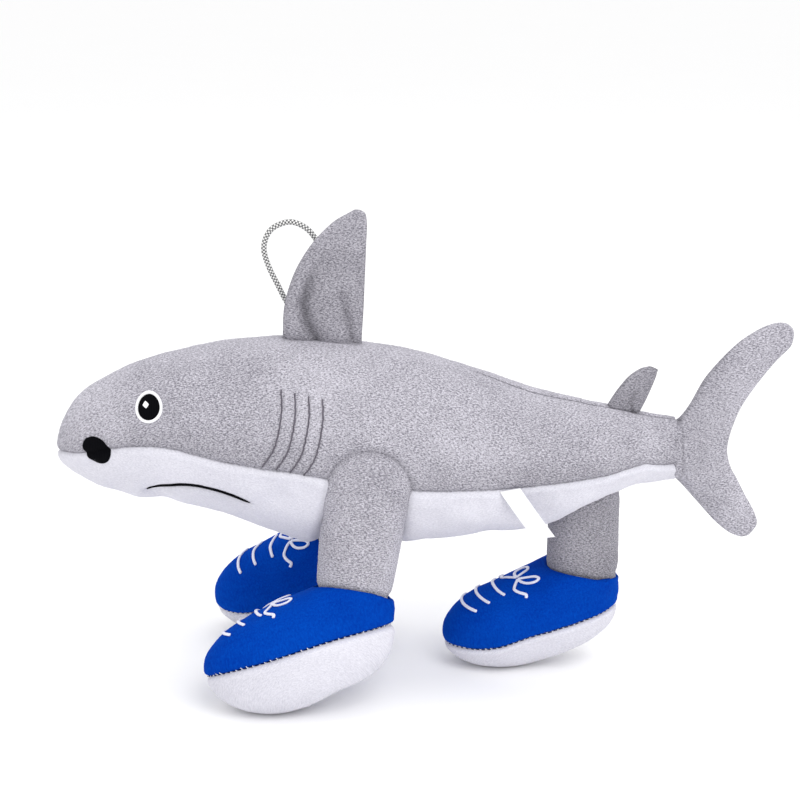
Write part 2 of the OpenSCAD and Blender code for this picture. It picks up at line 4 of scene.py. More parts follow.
import bmesh
import bpy
import numpy as np
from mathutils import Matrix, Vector


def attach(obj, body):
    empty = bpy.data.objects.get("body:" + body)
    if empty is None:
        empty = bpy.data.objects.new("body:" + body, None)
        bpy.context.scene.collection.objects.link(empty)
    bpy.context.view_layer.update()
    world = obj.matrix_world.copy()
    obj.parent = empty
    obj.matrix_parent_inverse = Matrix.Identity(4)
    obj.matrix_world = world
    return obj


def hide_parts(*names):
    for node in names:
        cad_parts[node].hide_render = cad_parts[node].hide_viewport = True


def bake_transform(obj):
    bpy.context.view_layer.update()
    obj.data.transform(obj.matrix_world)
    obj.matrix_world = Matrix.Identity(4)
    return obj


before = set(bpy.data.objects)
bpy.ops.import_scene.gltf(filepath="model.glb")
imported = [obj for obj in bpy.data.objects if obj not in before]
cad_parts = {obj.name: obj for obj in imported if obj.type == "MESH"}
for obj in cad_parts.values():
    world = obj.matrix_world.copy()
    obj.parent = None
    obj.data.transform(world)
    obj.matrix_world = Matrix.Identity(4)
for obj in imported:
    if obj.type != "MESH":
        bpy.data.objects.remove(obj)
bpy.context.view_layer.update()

scene = bpy.context.scene
scene.view_settings.view_transform = "Standard"
scene.view_settings.look = "None"
MM = 0.001


def cos(d):
    return np.cos(np.radians(d))


def sin(d):
    return np.sin(np.radians(d))


# ---------------------------------------------------------------- camera
AIM = Vector((-0.014, 0.0, 0.1538))
AZIMUTH, ELEVATION, DISTANCE = -3.0, 15.3, 0.9
back = Vector((sin(AZIMUTH) * cos(ELEVATION), -cos(AZIMUTH) * cos(ELEVATION), sin(ELEVATION)))
camera = bpy.data.objects.new("camera", bpy.data.cameras.new("camera"))
scene.collection.objects.link(camera)
camera.location = AIM + back * DISTANCE
camera.rotation_mode = "QUATERNION"
camera.rotation_quaternion = (-back).to_track_quat("-Z", "Y")
camera.data.sensor_width = 36
camera.data.lens = 74.72
camera.data.clip_end = 100
scene.camera = camera


# ---------------------------------------------------------------- numbers
def at(table, u):
    """Smooth value of a table of rows at the real index u."""
    table, u = np.asarray(table, float), np.asarray(u, float)
    last = len(table) - 1
    i = np.clip(np.floor(u).astype(int), 0, last - 1)
    t = (u - i)[..., None]
    a, b, c, d = table[np.maximum(i - 1, 0)], table[i], table[i + 1], table[np.minimum(i + 2, last)]
    return 0.5 * (2 * b + (c - a) * t + (2 * a - 5 * b + 4 * c - d) * t**2 + (3 * b - a - 3 * c + d) * t**3)


def sample(grid, r, c):
    """Smooth value of a grid of numbers, whose columns close on themselves, at real row r and column c."""
    n, m = grid.shape
    i = np.clip(np.floor(r).astype(int), 0, n - 2)
    j = np.floor(c).astype(int)

    def weights(t):
        near = ((-t + 2 * t**2 - t**3) / 2, (2 - 5 * t**2 + 3 * t**3) / 2)
        return *near, (t + 4 * t**2 - 3 * t**3) / 2, (t**3 - t**2) / 2

    total = 0
    for di, wi in zip((-1, 0, 1, 2), weights(r - i)):
        row = np.clip(i + di, 0, n - 1)
        for dj, wj in zip((-1, 0, 1, 2), weights(c - j)):
            total = total + wi * wj * grid[row, (j + dj) % m]
    return total


LATTICE = np.array([374761393, 668265263, 1440662683])


def noise(p, size, seed):
    """Smooth random value from -1 to 1 at points p, with lumps of that size, from a hashed lattice."""
    q = np.asarray(p, float) / size
    i = np.floor(q).astype(np.int64)
    f = q - i
    f = f * f * (3 - 2 * f)
    total = 0
    for corner in np.ndindex(2, 2, 2):
        weight = np.where(np.array(corner) == 1, f, 1 - f).prod(-1)
        h = (((i + corner) * LATTICE).sum(-1) + seed * 97463477) & 0xFFFFFFFF
        h = ((h ^ (h >> 13)) * 1274126177) & 0xFFFFFFFF
        total = total + weight * (((h ^ (h >> 16)) & 0xFFFF) / 32767.5 - 1)
    return total


def fade(x, low, high):
    """Smooth step from 0 at low to 1 at high."""
    t = np.clip((x - low) / (high - low), 0, 1)
    return t * t * (3 - 2 * t)


def dent(distance, width):
    """Smooth bump of height 1, about that wide."""
    return np.exp(-((distance / width) ** 2))


def run_along(line):
    """Distance along a line of points, at each of them."""
    return np.concatenate([[0], np.cumsum(np.linalg.norm(np.diff(line, axis=0), axis=1))])


def to_line(p, line):
    """Distance from points p to a line through points, and how far along it they are, from 0 to 1."""
    line = np.asarray(line, float)
    best, place = np.full(p.shape[:-1], 1e9), np.zeros(p.shape[:-1])
    for k in range(len(line) - 1):
        a, b = line[k], line[k + 1]
        t = np.clip(((p - a) @ (b - a)) / ((b - a) @ (b - a)), 0, 1)
        d = np.linalg.norm(p - a - t[..., None] * (b - a), axis=-1)
        place = np.where(d < best, (k + t) / (len(line) - 1), place)
        best = np.minimum(best, d)
    return best, place


def unit(v):
    return v / np.maximum(np.linalg.norm(v, axis=-1, keepdims=True), 1e-9)


def normals(P):
    """Directions across a grid of points, rows by columns."""
    return unit(np.cross(np.gradient(P, axis=1), np.gradient(P, axis=0)))


# ---------------------------------------------------------------- meshes
def new_object(name, verts, faces, material, nap=None, painted_light=None):
    """Mesh from points in mm. nap is each point's place on the flat fabric, and tone how much light its
    painted shade leaves, 1 where there is none.
    """
    mesh = bpy.data.meshes.new(name)
    mesh.from_pydata((np.asarray(verts, float).reshape(-1, 3) * MM).tolist(), [], faces)
    if nap is not None:
        values = (np.asarray(nap, float) * MM).astype(np.float32).ravel()
        mesh.attributes.new("nap", "FLOAT_VECTOR", "POINT").data.foreach_set("vector", values)
    if painted_light is not None:
        values = np.asarray(painted_light, np.float32).ravel()
        mesh.attributes.new("painted_light", "FLOAT", "POINT").data.foreach_set("value", values)
    mesh.polygons.foreach_set("use_smooth", [True] * len(mesh.polygons))
    mesh.materials.append(material)
    obj = bpy.data.objects.new(name, mesh)
    scene.collection.objects.link(obj)
    return obj


def grid_faces(n, m, wrap, flip=False, start=0):
    """Quads of a grid of n rows by m columns, which closes on itself with wrap."""
    i, j = np.meshgrid(np.arange(n - 1), np.arange(m if wrap else m - 1), indexing="ij")
    a, b = start + i * m + j, start + i * m + (j + 1) % m
    quads = np.stack([a, b, b + m, a + m], -1).reshape(-1, 4)
    return (quads[:, ::-1] if flip else quads).tolist()


def outward(obj):
    """Welds the poles, drops what they leave, and turns the faces out."""
    bm = bmesh.new()
    bm.from_mesh(obj.data)
    bmesh.ops.remove_doubles(bm, verts=bm.verts, dist=1e-6)
    bmesh.ops.dissolve_degenerate(bm, edges=bm.edges, dist=1e-7)
    bmesh.ops.recalc_face_normals(bm, faces=bm.faces)
    bm.to_mesh(obj.data)
    bm.free()
    return obj


def closed(name, rings, material, nap=None, painted_light=None):
    """Closed solid through rings of points, each end drawn in to a point."""
    around = rings.shape[1]
    first, last = [end.mean(1, keepdims=True).repeat(around, 1) for end in (rings[:1], rings[-1:])]
    rings = np.concatenate([first, rings, last])
    nap, painted_light = [None if g is None else np.concatenate([g[:1], g, g[-1:]]) for g in (nap, painted_light)]
    return outward(new_object(name, rings, grid_faces(len(rings), around, True), material, nap, painted_light))


def shell(name, P, inner, material, nap, painted_light):
    """Fabric between the grid P and its back, closed along their edges."""
    n, m = P.shape[:2]
    faces = grid_faces(n, m, False) + grid_faces(n, m, False, True, n * m)
    edge = [(0, j) for j in range(m)] + [(i, m - 1) for i in range(1, n)]
    edge += [(n - 1, j) for j in range(m - 2, -1, -1)] + [(i, 0) for i in range(n - 2, 0, -1)]
    ids = [i * m + j for i, j in edge]
    faces += [[a, b, b + n * m, a + n * m] for a, b in zip(ids, ids[1:] + ids[:1])]
    verts, nap, painted_light = [np.concatenate(pair) for pair in ((P, inner), (nap, nap), (painted_light, painted_light))]
    return outward(new_object(name, verts, faces, material, nap, painted_light))


def fabric(name, P, material, nap, painted_light, thick, wrap=False):
    """A cut of fabric of that thickness with the grid P as its outside, or a tube of it with wrap."""
    N = normals(P)
    if ((P - P.reshape(-1, 3).mean(0)) * N).sum() < 0:
        N = -N
    inner = P - N * thick
    if not wrap:
        return shell(name, P, inner, material, nap, painted_light)
    pairs = ((P, inner), (nap, nap), (painted_light, painted_light))
    rings, nap, painted_light = [np.concatenate([front, rear[::-1], front[:1]]) for front, rear in pairs]
    return outward(new_object(name, rings, grid_faces(len(rings), P.shape[1], True), material, nap, painted_light))


def thread(points, out, width, height, sides, step, twist=0.0, pitch=1.4, taper=0.12):
    """Vertices and faces of a sewn thread along points, with out the direction it is raised in."""
    points, out = np.asarray(points, float), np.asarray(out, float)
    length = run_along(points)
    s = np.linspace(0, length[-1], max(4, int(length[-1] / step) + 1))
    P, raised = [at(a, np.interp(s, length, np.arange(len(points)))) for a in (points, out)]
    T = unit(np.gradient(P, axis=0))
    side = unit(np.cross(T, raised))
    up = np.cross(side, T)
    k = np.arange(sides) * 360 / sides
    end = np.clip(np.minimum(s, length[-1] - s) / (taper * length[-1] + 0.3 * width), 0, 1)
    grow = np.sqrt(np.clip(1 - (1 - end) ** 2, 0.02, 1))[:, None]
    ridge = 1 + twist * np.sin(2 * np.pi * s[:, None] / pitch + np.radians(k)[None, :] * 2)
    across = 0.5 * width * cos(k)[None, :, None] * side[:, None]
    across = across + 0.5 * height * sin(k)[None, :, None] * up[:, None]
    rings = P[:, None] + (grow * ridge)[..., None] * across
    rings = np.concatenate([P[:1, None].repeat(sides, 1), rings, P[-1:, None].repeat(sides, 1)])
    return rings.reshape(-1, 3), grid_faces(len(rings), sides, True)


def many(name, parts, material):
    """One piece from several sewn threads."""
    faces, start = [], 0
    for verts, quads in parts:
        faces += [[i + start for i in quad] for quad in quads]
        start += len(verts)
    verts = np.concatenate([verts for verts, _ in parts])
    return outward(new_object(name, verts, faces, material, verts, np.ones(len(verts))))


def declare(obj, replaced, slot, body=None):
    """Puts the piece on the body it rides on and hides the nodes it replaces. slot, its finish, is not used.
    """
    if body is not None:
        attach(obj, body)
    if replaced:
        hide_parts(*replaced)


# ---------------------------------------------------------------- materials
def nodes_for(name):
    m = bpy.data.materials.new(name)
    m.use_nodes = True
    tree = m.node_tree
    for n in list(tree.nodes):
        tree.nodes.remove(n)
    out = tree.nodes.new("ShaderNodeOutputMaterial")
    shader = tree.nodes.new("ShaderNodeBsdfPrincipled")
    tree.links.new(shader.outputs[0], out.inputs[0])
    return m, tree, shader


def node(tree, kind, inputs=None, **settings):
    """Shader node whose inputs are values, or outputs of other nodes."""
    n = tree.nodes.new(kind)
    for k, v in settings.items():
        setattr(n, k, v)
    for k, v in (inputs or {}).items():
        if isinstance(v, bpy.types.NodeSocket):
            tree.links.new(v, n.inputs[k])
        else:
            n.inputs[k].default_value = v
    return n


def math_node(tree, op, a, b, c=None, clamp=False):
    n = node(tree, "ShaderNodeMath", {0: a, 1: b}, operation=op, use_clamp=clamp)
    if c is not None:
        n.inputs[2].default_value = c
    return n.outputs[0]


def mixed(tree, a, share, b):
    """That share of a, and the rest of b."""
    rest = math_node(tree, "MULTIPLY", b, 1 - share)
    return math_node(tree, "ADD", math_node(tree, "MULTIPLY", a, share), rest)


def moved(tree, where, scale=(1, 1, 1), turn=0.0):
    inputs = {"Vector": where, "Scale": scale, "Rotation": (0, 0, math.radians(turn))}
    return node(tree, "ShaderNodeMapping", inputs).outputs[0]


def noise_node(tree, where, scale, detail, rough):
    inputs = {"Vector": where, "Scale": scale, "Detail": detail, "Roughness": rough}
    return node(tree, "ShaderNodeTexNoise", inputs).outputs["Fac"]


def wave_node(tree, where, turn, scale, distortion, more=None):
    """Even rows, turned by that many degrees."""
    inputs = {"Vector": moved(tree, where, turn=turn), "Scale": scale, "Distortion": distortion}
    return node(tree, "ShaderNodeTexWave", inputs | (more or {})).outputs["Fac"]


def attribute(tree, name, output):
    return node(tree, "ShaderNodeAttribute", attribute_name=name).outputs[output]


def colour_mix(tree, fac, a, b):
    n = node(tree, "ShaderNodeMix", {"Factor": fac}, data_type="RGBA")
    for socket, v in (("A", a), ("B", b)):
        target = [s for s in n.inputs if s.name == socket and s.type == "RGBA"][0]
        if isinstance(v, bpy.types.NodeSocket):
            tree.links.new(v, target)
        else:
            target.default_value = (*v, 1)
    return [s for s in n.outputs if s.type == "RGBA"][0]


def dress(tree, shader, colour, height, strength, depth, values):
    """Gives a shader its colour, bumps from a height, of a depth in metres, and its other values."""
    bumps = node(tree, "ShaderNodeBump", {"Height": height, "Strength": strength, "Distance": depth})
    tree.links.new(colour, shader.inputs["Base Color"])
    tree.links.new(bumps.outputs[0], shader.inputs["Normal"])
    for name, value in values.items():
        shader.inputs[name].default_value = value


def plush(name, shades, sheen, tint, bump, contrast=1.0, broad=0.5, gloss=0.18,
          streak=(0.62, 1.4, 1), turn=35.0, grain=1150.0, patch=24.0):
    """Short brushed pile: fine tufts in leaning rows, soft patches where the nap turns, and painted shade at
    seams and creases.
    """
    dark, mid, light = shades
    m, tree, shader = nodes_for(name)
    nap = attribute(tree, "nap", "Vector")
    place = node(tree, "ShaderNodeTexCoord").outputs["Object"]
    streaks = noise_node(tree, moved(tree, nap, streak, turn), grain, 3, 0.62)
    height = mixed(tree, streaks, 0.62, noise_node(tree, place, grain * 1.35, 3, 0.6))
    fine = math_node(tree, "MULTIPLY_ADD", height, 2.3 * contrast, 0.5 - 1.15 * contrast)
    patches = math_node(tree, "MULTIPLY_ADD", noise_node(tree, place, patch, 3, 0.55), 1.5, -0.75)
    swirls = noise_node(tree, moved(tree, nap, (0.6, 1.6, 1), turn), patch * 5.5, 2, 0.5)
    lies = math_node(tree, "ADD", patches, math_node(tree, "MULTIPLY_ADD", swirls, 0.5, -0.25))
    level = math_node(tree, "ADD", math_node(tree, "MULTIPLY", lies, broad), fine, clamp=True)
    body = colour_mix(tree, 0.12, colour_mix(tree, level, dark, light), mid)
    # painted shade: the colour darkens towards this where the tone attribute is low, in creases, seams and
    # shadowed places
    painted_crease_shade = tuple(0.42 * c for c in dark)
    colour = colour_mix(tree, attribute(tree, "painted_light", "Fac"), painted_crease_shade, body)
    values = {"Roughness": 0.92, "Specular IOR Level": gloss, "Sheen Weight": sheen}
    values |= {"Sheen Roughness": 0.45, "Sheen Tint": (*tint, 1)}
    dress(tree, shader, colour, height, bump, 0.0011, values)
    return m


def stitched(name, colour, other, rough, pitch=2300.0, sheen=0.25, gleam=0.4):
    """Satin stitch: fine parallel threads with a slight gloss."""
    m, tree, shader = nodes_for(name)
    nap = attribute(tree, "nap", "Vector")
    rows = wave_node(tree, nap, 0, pitch / 6.2832, 0.8, {"Detail": 1, "Detail Scale": 2.0})
    level = mixed(tree, rows, 0.7, noise_node(tree, nap, pitch * 0.8, 2, 0.5))
    values = {"Roughness": rough, "Specular IOR Level": gleam, "Sheen Weight": sheen}
    dress(tree, shader, colour_mix(tree, level, other, colour), level, 0.5, 0.0003, values)
    return m


def fluff(name):
    """Loose polyester filling."""
    m, tree, shader = nodes_for(name)
    curls = noise_node(tree, node(tree, "ShaderNodeTexCoord").outputs["Object"], 240, 6, 0.7)
    colour = colour_mix(tree, curls, (0.72, 0.72, 0.71), (0.95, 0.95, 0.94))
    dress(tree, shader, colour, curls, 0.8, 0.003, {"Roughness": 0.95, "Sheen Weight": 0.4})
    return m


def ribbon_material(name):
    """White woven satin ribbon."""
    m, tree, shader = nodes_for(name)
    nap = attribute(tree, "nap", "Vector")
    weave = mixed(tree, wave_node(tree, nap, 90, 700.0, 0.3), 0.65, wave_node(tree, nap, 0, 520.0, 0.2))
    soft = math_node(tree, "MULTIPLY", noise_node(tree, nap, 160, 2, 0.5), 0.25)
    base = colour_mix(tree, weave, (0.86, 0.86, 0.89), (0.97, 0.97, 0.98))
    colour = colour_mix(tree, soft, base, (0.84, 0.84, 0.88))
    dress(tree, shader, colour, weave, 0.3, 0.00012, {"Roughness": 0.42, "Sheen Weight": 0.2})
    return m


def braid_material(name):
    """Two-colour braid: strands cross over in a ladder along the cord."""
    m, tree, shader = nodes_for(name)
    nap = attribute(tree, "nap", "Vector")
    strands = [wave_node(tree, nap, turn, 215.0, 0.15) for turn in (38, -38)]
    cross = math_node(tree, "MULTIPLY", *strands)
    limits = {"Value": cross, "From Min": 0.03, "From Max": 0.3}
    mark = node(tree, "ShaderNodeMapRange", limits, interpolation_type="SMOOTHSTEP").outputs[0]
    colour = colour_mix(tree, mark, (0.05, 0.05, 0.055), (0.86, 0.86, 0.85))
    dress(tree, shader, colour, cross, 0.7, 0.0004, {"Roughness": 0.6, "Sheen Weight": 0.3})
    return m


GREYS = (0.150, 0.144, 0.172), (0.33, 0.318, 0.36), (0.66, 0.64, 0.71)
WHITES = (0.50, 0.495, 0.56), (0.66, 0.65, 0.72), (0.82, 0.81, 0.875)
BLUES = (0.0, 0.016, 0.245), (0.0, 0.035, 0.36), (0.001, 0.075, 0.48)
LEG_ROWS = {"streak": (0.55, 1.5, 1), "turn": 0}


def grey(name, k, **settings):
    """Grey plush, k times as light: the darker copies are painted shade for parts that sit in shadow, together
    with pile that lies away from the light.
    """
    shades = [tuple(k * c for c in shade) for shade in GREYS]
    return plush(name, shades, 0.3, (0.92, 0.91, 1.0), bump=0.9, contrast=2.3, **settings)


# the fins and the rear leg get darker copies of the grey: painted shade where they sit in shadow, and pile
# that lies against the light
GREY = grey("grey_plush", 1.05)
GREY_LEG = grey("grey_plush_rows", 1.03, **LEG_ROWS)
GREY_SHADED_FIN = grey("grey_plush_against_painted_shade", 0.86)
GREY_SHADED_REAR = grey("grey_plush_rows_against_painted_shade", 0.70, **LEG_ROWS)
WHITE = plush("white_plush", WHITES, 0.2, (1, 1, 1), bump=0.4, broad=0.35)
BLUE = plush("blue_fabric", BLUES, 0.12, (0.0, 0.22, 0.9), bump=0.4, contrast=0.8, gloss=0.02,
             streak=(1.1, 0.4, 1), turn=-35, grain=900.0, patch=20.0)
BLACK_STITCH = stitched("black_embroidery", (0.003, 0.003, 0.005), (0.0008, 0.0008, 0.0012), 0.8,
                        sheen=0.0, gleam=0.05)
WHITE_STITCH = stitched("white_embroidery", (0.95, 0.95, 0.96), (0.80, 0.80, 0.83), 0.6)
LACE_STITCH = stitched("lace_embroidery", (0.90, 0.90, 0.97), (0.66, 0.68, 0.86), 0.6, pitch=3400.0)
GILL_STITCH = stitched("gill_thread", (0.17, 0.155, 0.19), (0.07, 0.063, 0.08), 0.7, sheen=0.1, gleam=0.15)
BLUE_STITCH = stitched("blue_thread", (0.0, 0.008, 0.10), (0.0, 0.002, 0.035), 0.7, sheen=0.0, gleam=0.1)
GREY_STITCH = stitched("grey_thread", (0.30, 0.29, 0.33), (0.14, 0.135, 0.16), 0.6, sheen=0.1)
FLUFF = fluff("fibre_filling")
RIBBON = ribbon_material("label_ribbon")
BRAID = braid_material("braided_cord")

# ---------------------------------------------------------------- hanging cord
LOOP = [
    (-63, 7.4, 194), (-68, 8.4, 199), (-74, 9.5, 206), (-79, 9.5, 216), (-84, 9.5, 227), (-86, 9.5, 237),
    (-82, 9.5, 246), (-72.5, 9.5, 250), (-64, 9.5, 247), (-58, 9.5, 240), (-53.5, 9.5, 230), (-51, 9.5, 219),
    (-50, 9.5, 208), (-51, 8.4, 199), (-53, 7.4, 194),
]
CORD_D = 3.0
STRAND = 1.15
route = at(LOOP, np.linspace(0, len(LOOP) - 1, 561))
run = run_along(route)
heading = unit(np.gradient(route, axis=0))
beside = unit(np.cross(heading, np.array([0.0, 1.0, 0.0])))
above = np.cross(beside, heading)
turns = np.arange(24) * 15.0
lay = np.pi * run[:, None] / STRAND
wound = np.radians(turns)[None, :] * 3
strand = 1 + 0.045 * np.abs(np.sin(lay + wound)) + 0.045 * np.abs(np.sin(lay - wound))
radius = CORD_D / 2 / 1.06 * strand
spokes = cos(turns)[None, :, None] * beside[:, None] + sin(turns)[None, :, None] * above[:, None]
rings = route[:, None] + radius[..., None] * spokes
cord_nap = np.zeros(rings.shape)
cord_nap[..., 0] = run[:, None]
cord_nap[..., 1] = turns[None, :] / 360 * math.pi * CORD_D
cord = closed("hanging_cord", rings, BRAID, cord_nap, np.ones(rings.shape[:2]))
declare(cord, ["hang_loop"], "braided_cord", "cord_loop")

# ---------------------------------------------------------------- body surface
BODY = np.array([
    (-198.6, 132, 128, 1.5, 129.5), (-197.8, 138.5, 124.5, 7, 130), (-194.3, 147.5, 120.5, 12.5, 131),
    (-186.8, 158.5, 115, 18.5, 132), (-174, 168, 108, 25, 135.5), (-155, 176.4, 103.4, 31, 140),
    (-135, 182.6, 99.2, 36, 141), (-110, 187.3, 92.8, 40.5, 136), (-85, 189.6, 83.5, 44, 132),
    (-60, 189.0, 75.5, 46, 126), (-30, 185.4, 74.5, 46, 119.5), (0, 179.3, 76.5, 44, 116.5),
    (30, 169.8, 79.5, 39.5, 115), (60, 159.2, 82.5, 34, 115.5), (85, 152.8, 90, 29, 117),
    (110, 147.3, 103, 22.5, 119.5), (125, 144, 106, 17.5, 120), (137, 142, 107, 12.5, 119.5),
], float)
BODY_END = len(BODY) - 1
DENSE = np.linspace(0, BODY_END, 4001)
DENSE_X = at(BODY, DENSE)[:, 0]
LEGS = {
    "front_left": np.array([(-36.0, -35, 94), (-41, -46, 61)]),
    "front_right": np.array([(-36.0, 35, 94), (-41, 46, 61)]),
    "rear": np.array([(88.0, 0, 95), (88.5, 0, 52.5)]),
}
SLEEVE_R = {"front_left": 22.6, "front_right": 22.6, "rear": 19.8}
SHOULDER = 23.4


def body_u(x):
    """Station of the body at x."""
    return np.interp(x, DENSE_X, DENSE)


def sleeve_top(leg):
    """Middle of the sleeve's rounded top: a front leg's is above its hip, against the body's side."""
    hip, ankle = LEGS[leg]
    return hip + (SHOULDER if leg != "rear" else 0.0) * unit(hip - ankle)


MOUTH = [
    (-150.5, 111.8), (-142, 116.2), (-132, 118.2), (-122, 118), (-112, 115.8), (-103, 112.9), (-94.5, 109.2),
]
GILL = [(-77.5, 169.5), (-77.3, 160), (-79, 149.5), (-82, 139.5), (-88, 130.5)]
GILLS = [[(x + 7.1 * k, z - 1.6 * k) for x, z in GILL] for k in range(4)]
EYE, NOSTRIL = (-146.4, 159.6), (-175.2, 135.1)


def body_base(u, a):
    """Point of the plain body at station u and angle a, which runs from the back down the left side."""
    s = at(BODY, u)
    c = cos(a)
    half = np.where(c > 0, s[..., 1] - s[..., 4], s[..., 4] - s[..., 2])
    return np.stack([s[..., 0], -s[..., 3] * sin(a), s[..., 4] + half * c], -1)


def body_normal(u, a):
    ahead = body_base(np.minimum(u + 0.03, BODY_END), a) - body_base(np.maximum(u - 0.03, 0), a)
    return unit(np.cross(body_base(u, a + 0.5) - body_base(u, a - 0.5), ahead))


def body_angle(u, z):
    """Angle at which the left side is at height z."""
    s = at(BODY, u)
    above, over = z > s[..., 4], z - s[..., 4]
    part = np.where(above, over / (s[..., 1] - s[..., 4]), over / (s[..., 4] - s[..., 2]))
    return np.degrees(np.arccos(np.clip(part, -1, 1)))


SEAM_X = (-190, -162, -149, -128, -88, -70, -60, 44, 95, 118, 130)
SEAM_DROP = (0, 1.1, 1.8, 3.2, 3.6, 1.4, 0.8, 1.1, 1.4, -0.8, 0.8)


def side_seam_angle(x):
    """The sewn line between grey and white runs a little below the widest line."""
    s = at(BODY, body_u(x))
    return 90 + np.degrees(np.arcsin(np.interp(x, SEAM_X, SEAM_DROP) / (s[..., 4] - s[..., 2])))


def back_seam_angle(x):
    """The back seam wanders a little to the left behind the dorsal fin."""
    return 9.0 * fade(x, -20, 60) + 1.5 * np.sin(x / 21.0)


# ---------------------------------------------------------------- cloth
CLOTH_FRAMES = 18


def stuffed(rings, pins, pressure, slack, cap):
    """Blows fabric up from inside with Blender's Cloth, held along its sewn lines, with a little more than the
    shape needs. Returns how far each point of the grid of rings moved out, in mm, at most cap."""
    n, m = rings.shape[:2]
    ends = [rings[:1].mean(1), rings[-1:].mean(1)]
    verts = np.concatenate([rings.reshape(-1, 3), *ends])
    faces = grid_faces(n, m, True) + [[n * m, (j + 1) % m, j] for j in range(m)]
    faces += [[n * m + 1, (n - 1) * m + j, (n - 1) * m + (j + 1) % m] for j in range(m)]
    obj = new_object("cloth_work", verts, faces, GREY)
    bm = bmesh.new()
    bm.from_mesh(obj.data)
    bmesh.ops.recalc_face_normals(bm, faces=bm.faces)
    bm.to_mesh(obj.data)
    bm.free()
    group = obj.vertex_groups.new(name="sewn")
    for i, w in enumerate(np.concatenate([pins.ravel(), [1.0, 1.0]])):
        if w > 0:
            group.add([i], float(w), "REPLACE")
    mod = obj.modifiers.new("Cloth", "CLOTH")
    s = mod.settings
    s.quality = 6
    s.mass = 0.25
    s.use_pressure = True
    s.uniform_pressure_force = pressure
    s.vertex_group_mass = "sewn"
    s.shrink_min = -slack
    s.tension_stiffness = 18
    s.compression_stiffness = 18
    s.shear_stiffness = 6
    s.bending_stiffness = 0.35
    s.effector_weights.gravity = 0
    mod.point_cache.frame_start = 1
    mod.point_cache.frame_end = CLOTH_FRAMES
    for f in range(1, CLOTH_FRAMES + 1):
        scene.frame_set(f)
    done = obj.evaluated_get(bpy.context.evaluated_depsgraph_get())
    co = np.empty(len(done.data.vertices) * 3, np.float32)
    done.data.vertices.foreach_get("co", co)
    moved_by = (co.reshape(-1, 3)[: n * m] * 1000 - rings.reshape(-1, 3)).reshape(n, m, 3)
    bpy.data.objects.remove(obj)
    scene.frame_set(1)
    N = normals(np.concatenate([rings[:, -1:], rings, rings[:, :1]], 1))[:, 1:-1]
    if ((rings - rings.reshape(-1, 3).mean(0)) * N).sum() < 0:
        N = -N
    d = np.nan_to_num((moved_by * N).sum(-1))
    return cap * np.tanh(d / cap)


def smoothed(d, times):
    """What is left of a grid of heights after some smoothing, its columns closing on themselves."""
    for _ in range(times):
        up, down = np.concatenate([d[:1], d[:-1]]), np.concatenate([d[1:], d[-1:]])
        d = 0.4 * d + 0.15 * (up + down + np.roll(d, 1, 1) + np.roll(d, -1, 1))
    return d
SIM_N, SIM_M = 64, 56
sim_x = (DENSE_X - DENSE_X[0]) / (DENSE_X[-1] - DENSE_X[0])
sim_u = np.interp(np.linspace(0, 1, SIM_N), sim_x, DENSE)
sim_u[:3] = (0.35, 0.9, 1.4)
U, A = np.meshgrid(sim_u, np.arange(SIM_M) * 360 / SIM_M, indexing="ij")
P = body_base(U, A)
pins = np.zeros(U.shape)
pins[:, [0, SIM_M // 4, 3 * SIM_M // 4]] = 1
pins[:2] = 1
pins[-2:] = 1
for leg in LEGS:
    near = to_line(P, [sleeve_top(leg), LEGS[leg][1]])[0]
    pins = np.where(near < SLEEVE_R[leg] + 2, 1, pins)
pins = np.where((to_line(P[..., [0, 2]], [(-77, 189), (-34, 186)])[0] < 4) & (np.abs(P[..., 1]) < 9), 1, pins)
BODY_SIM = stuffed(P, pins, 4.0, 0.035, 3.0)
BODY_SIM = 0.8 * (smoothed(BODY_SIM, 1) - smoothed(BODY_SIM, 40))


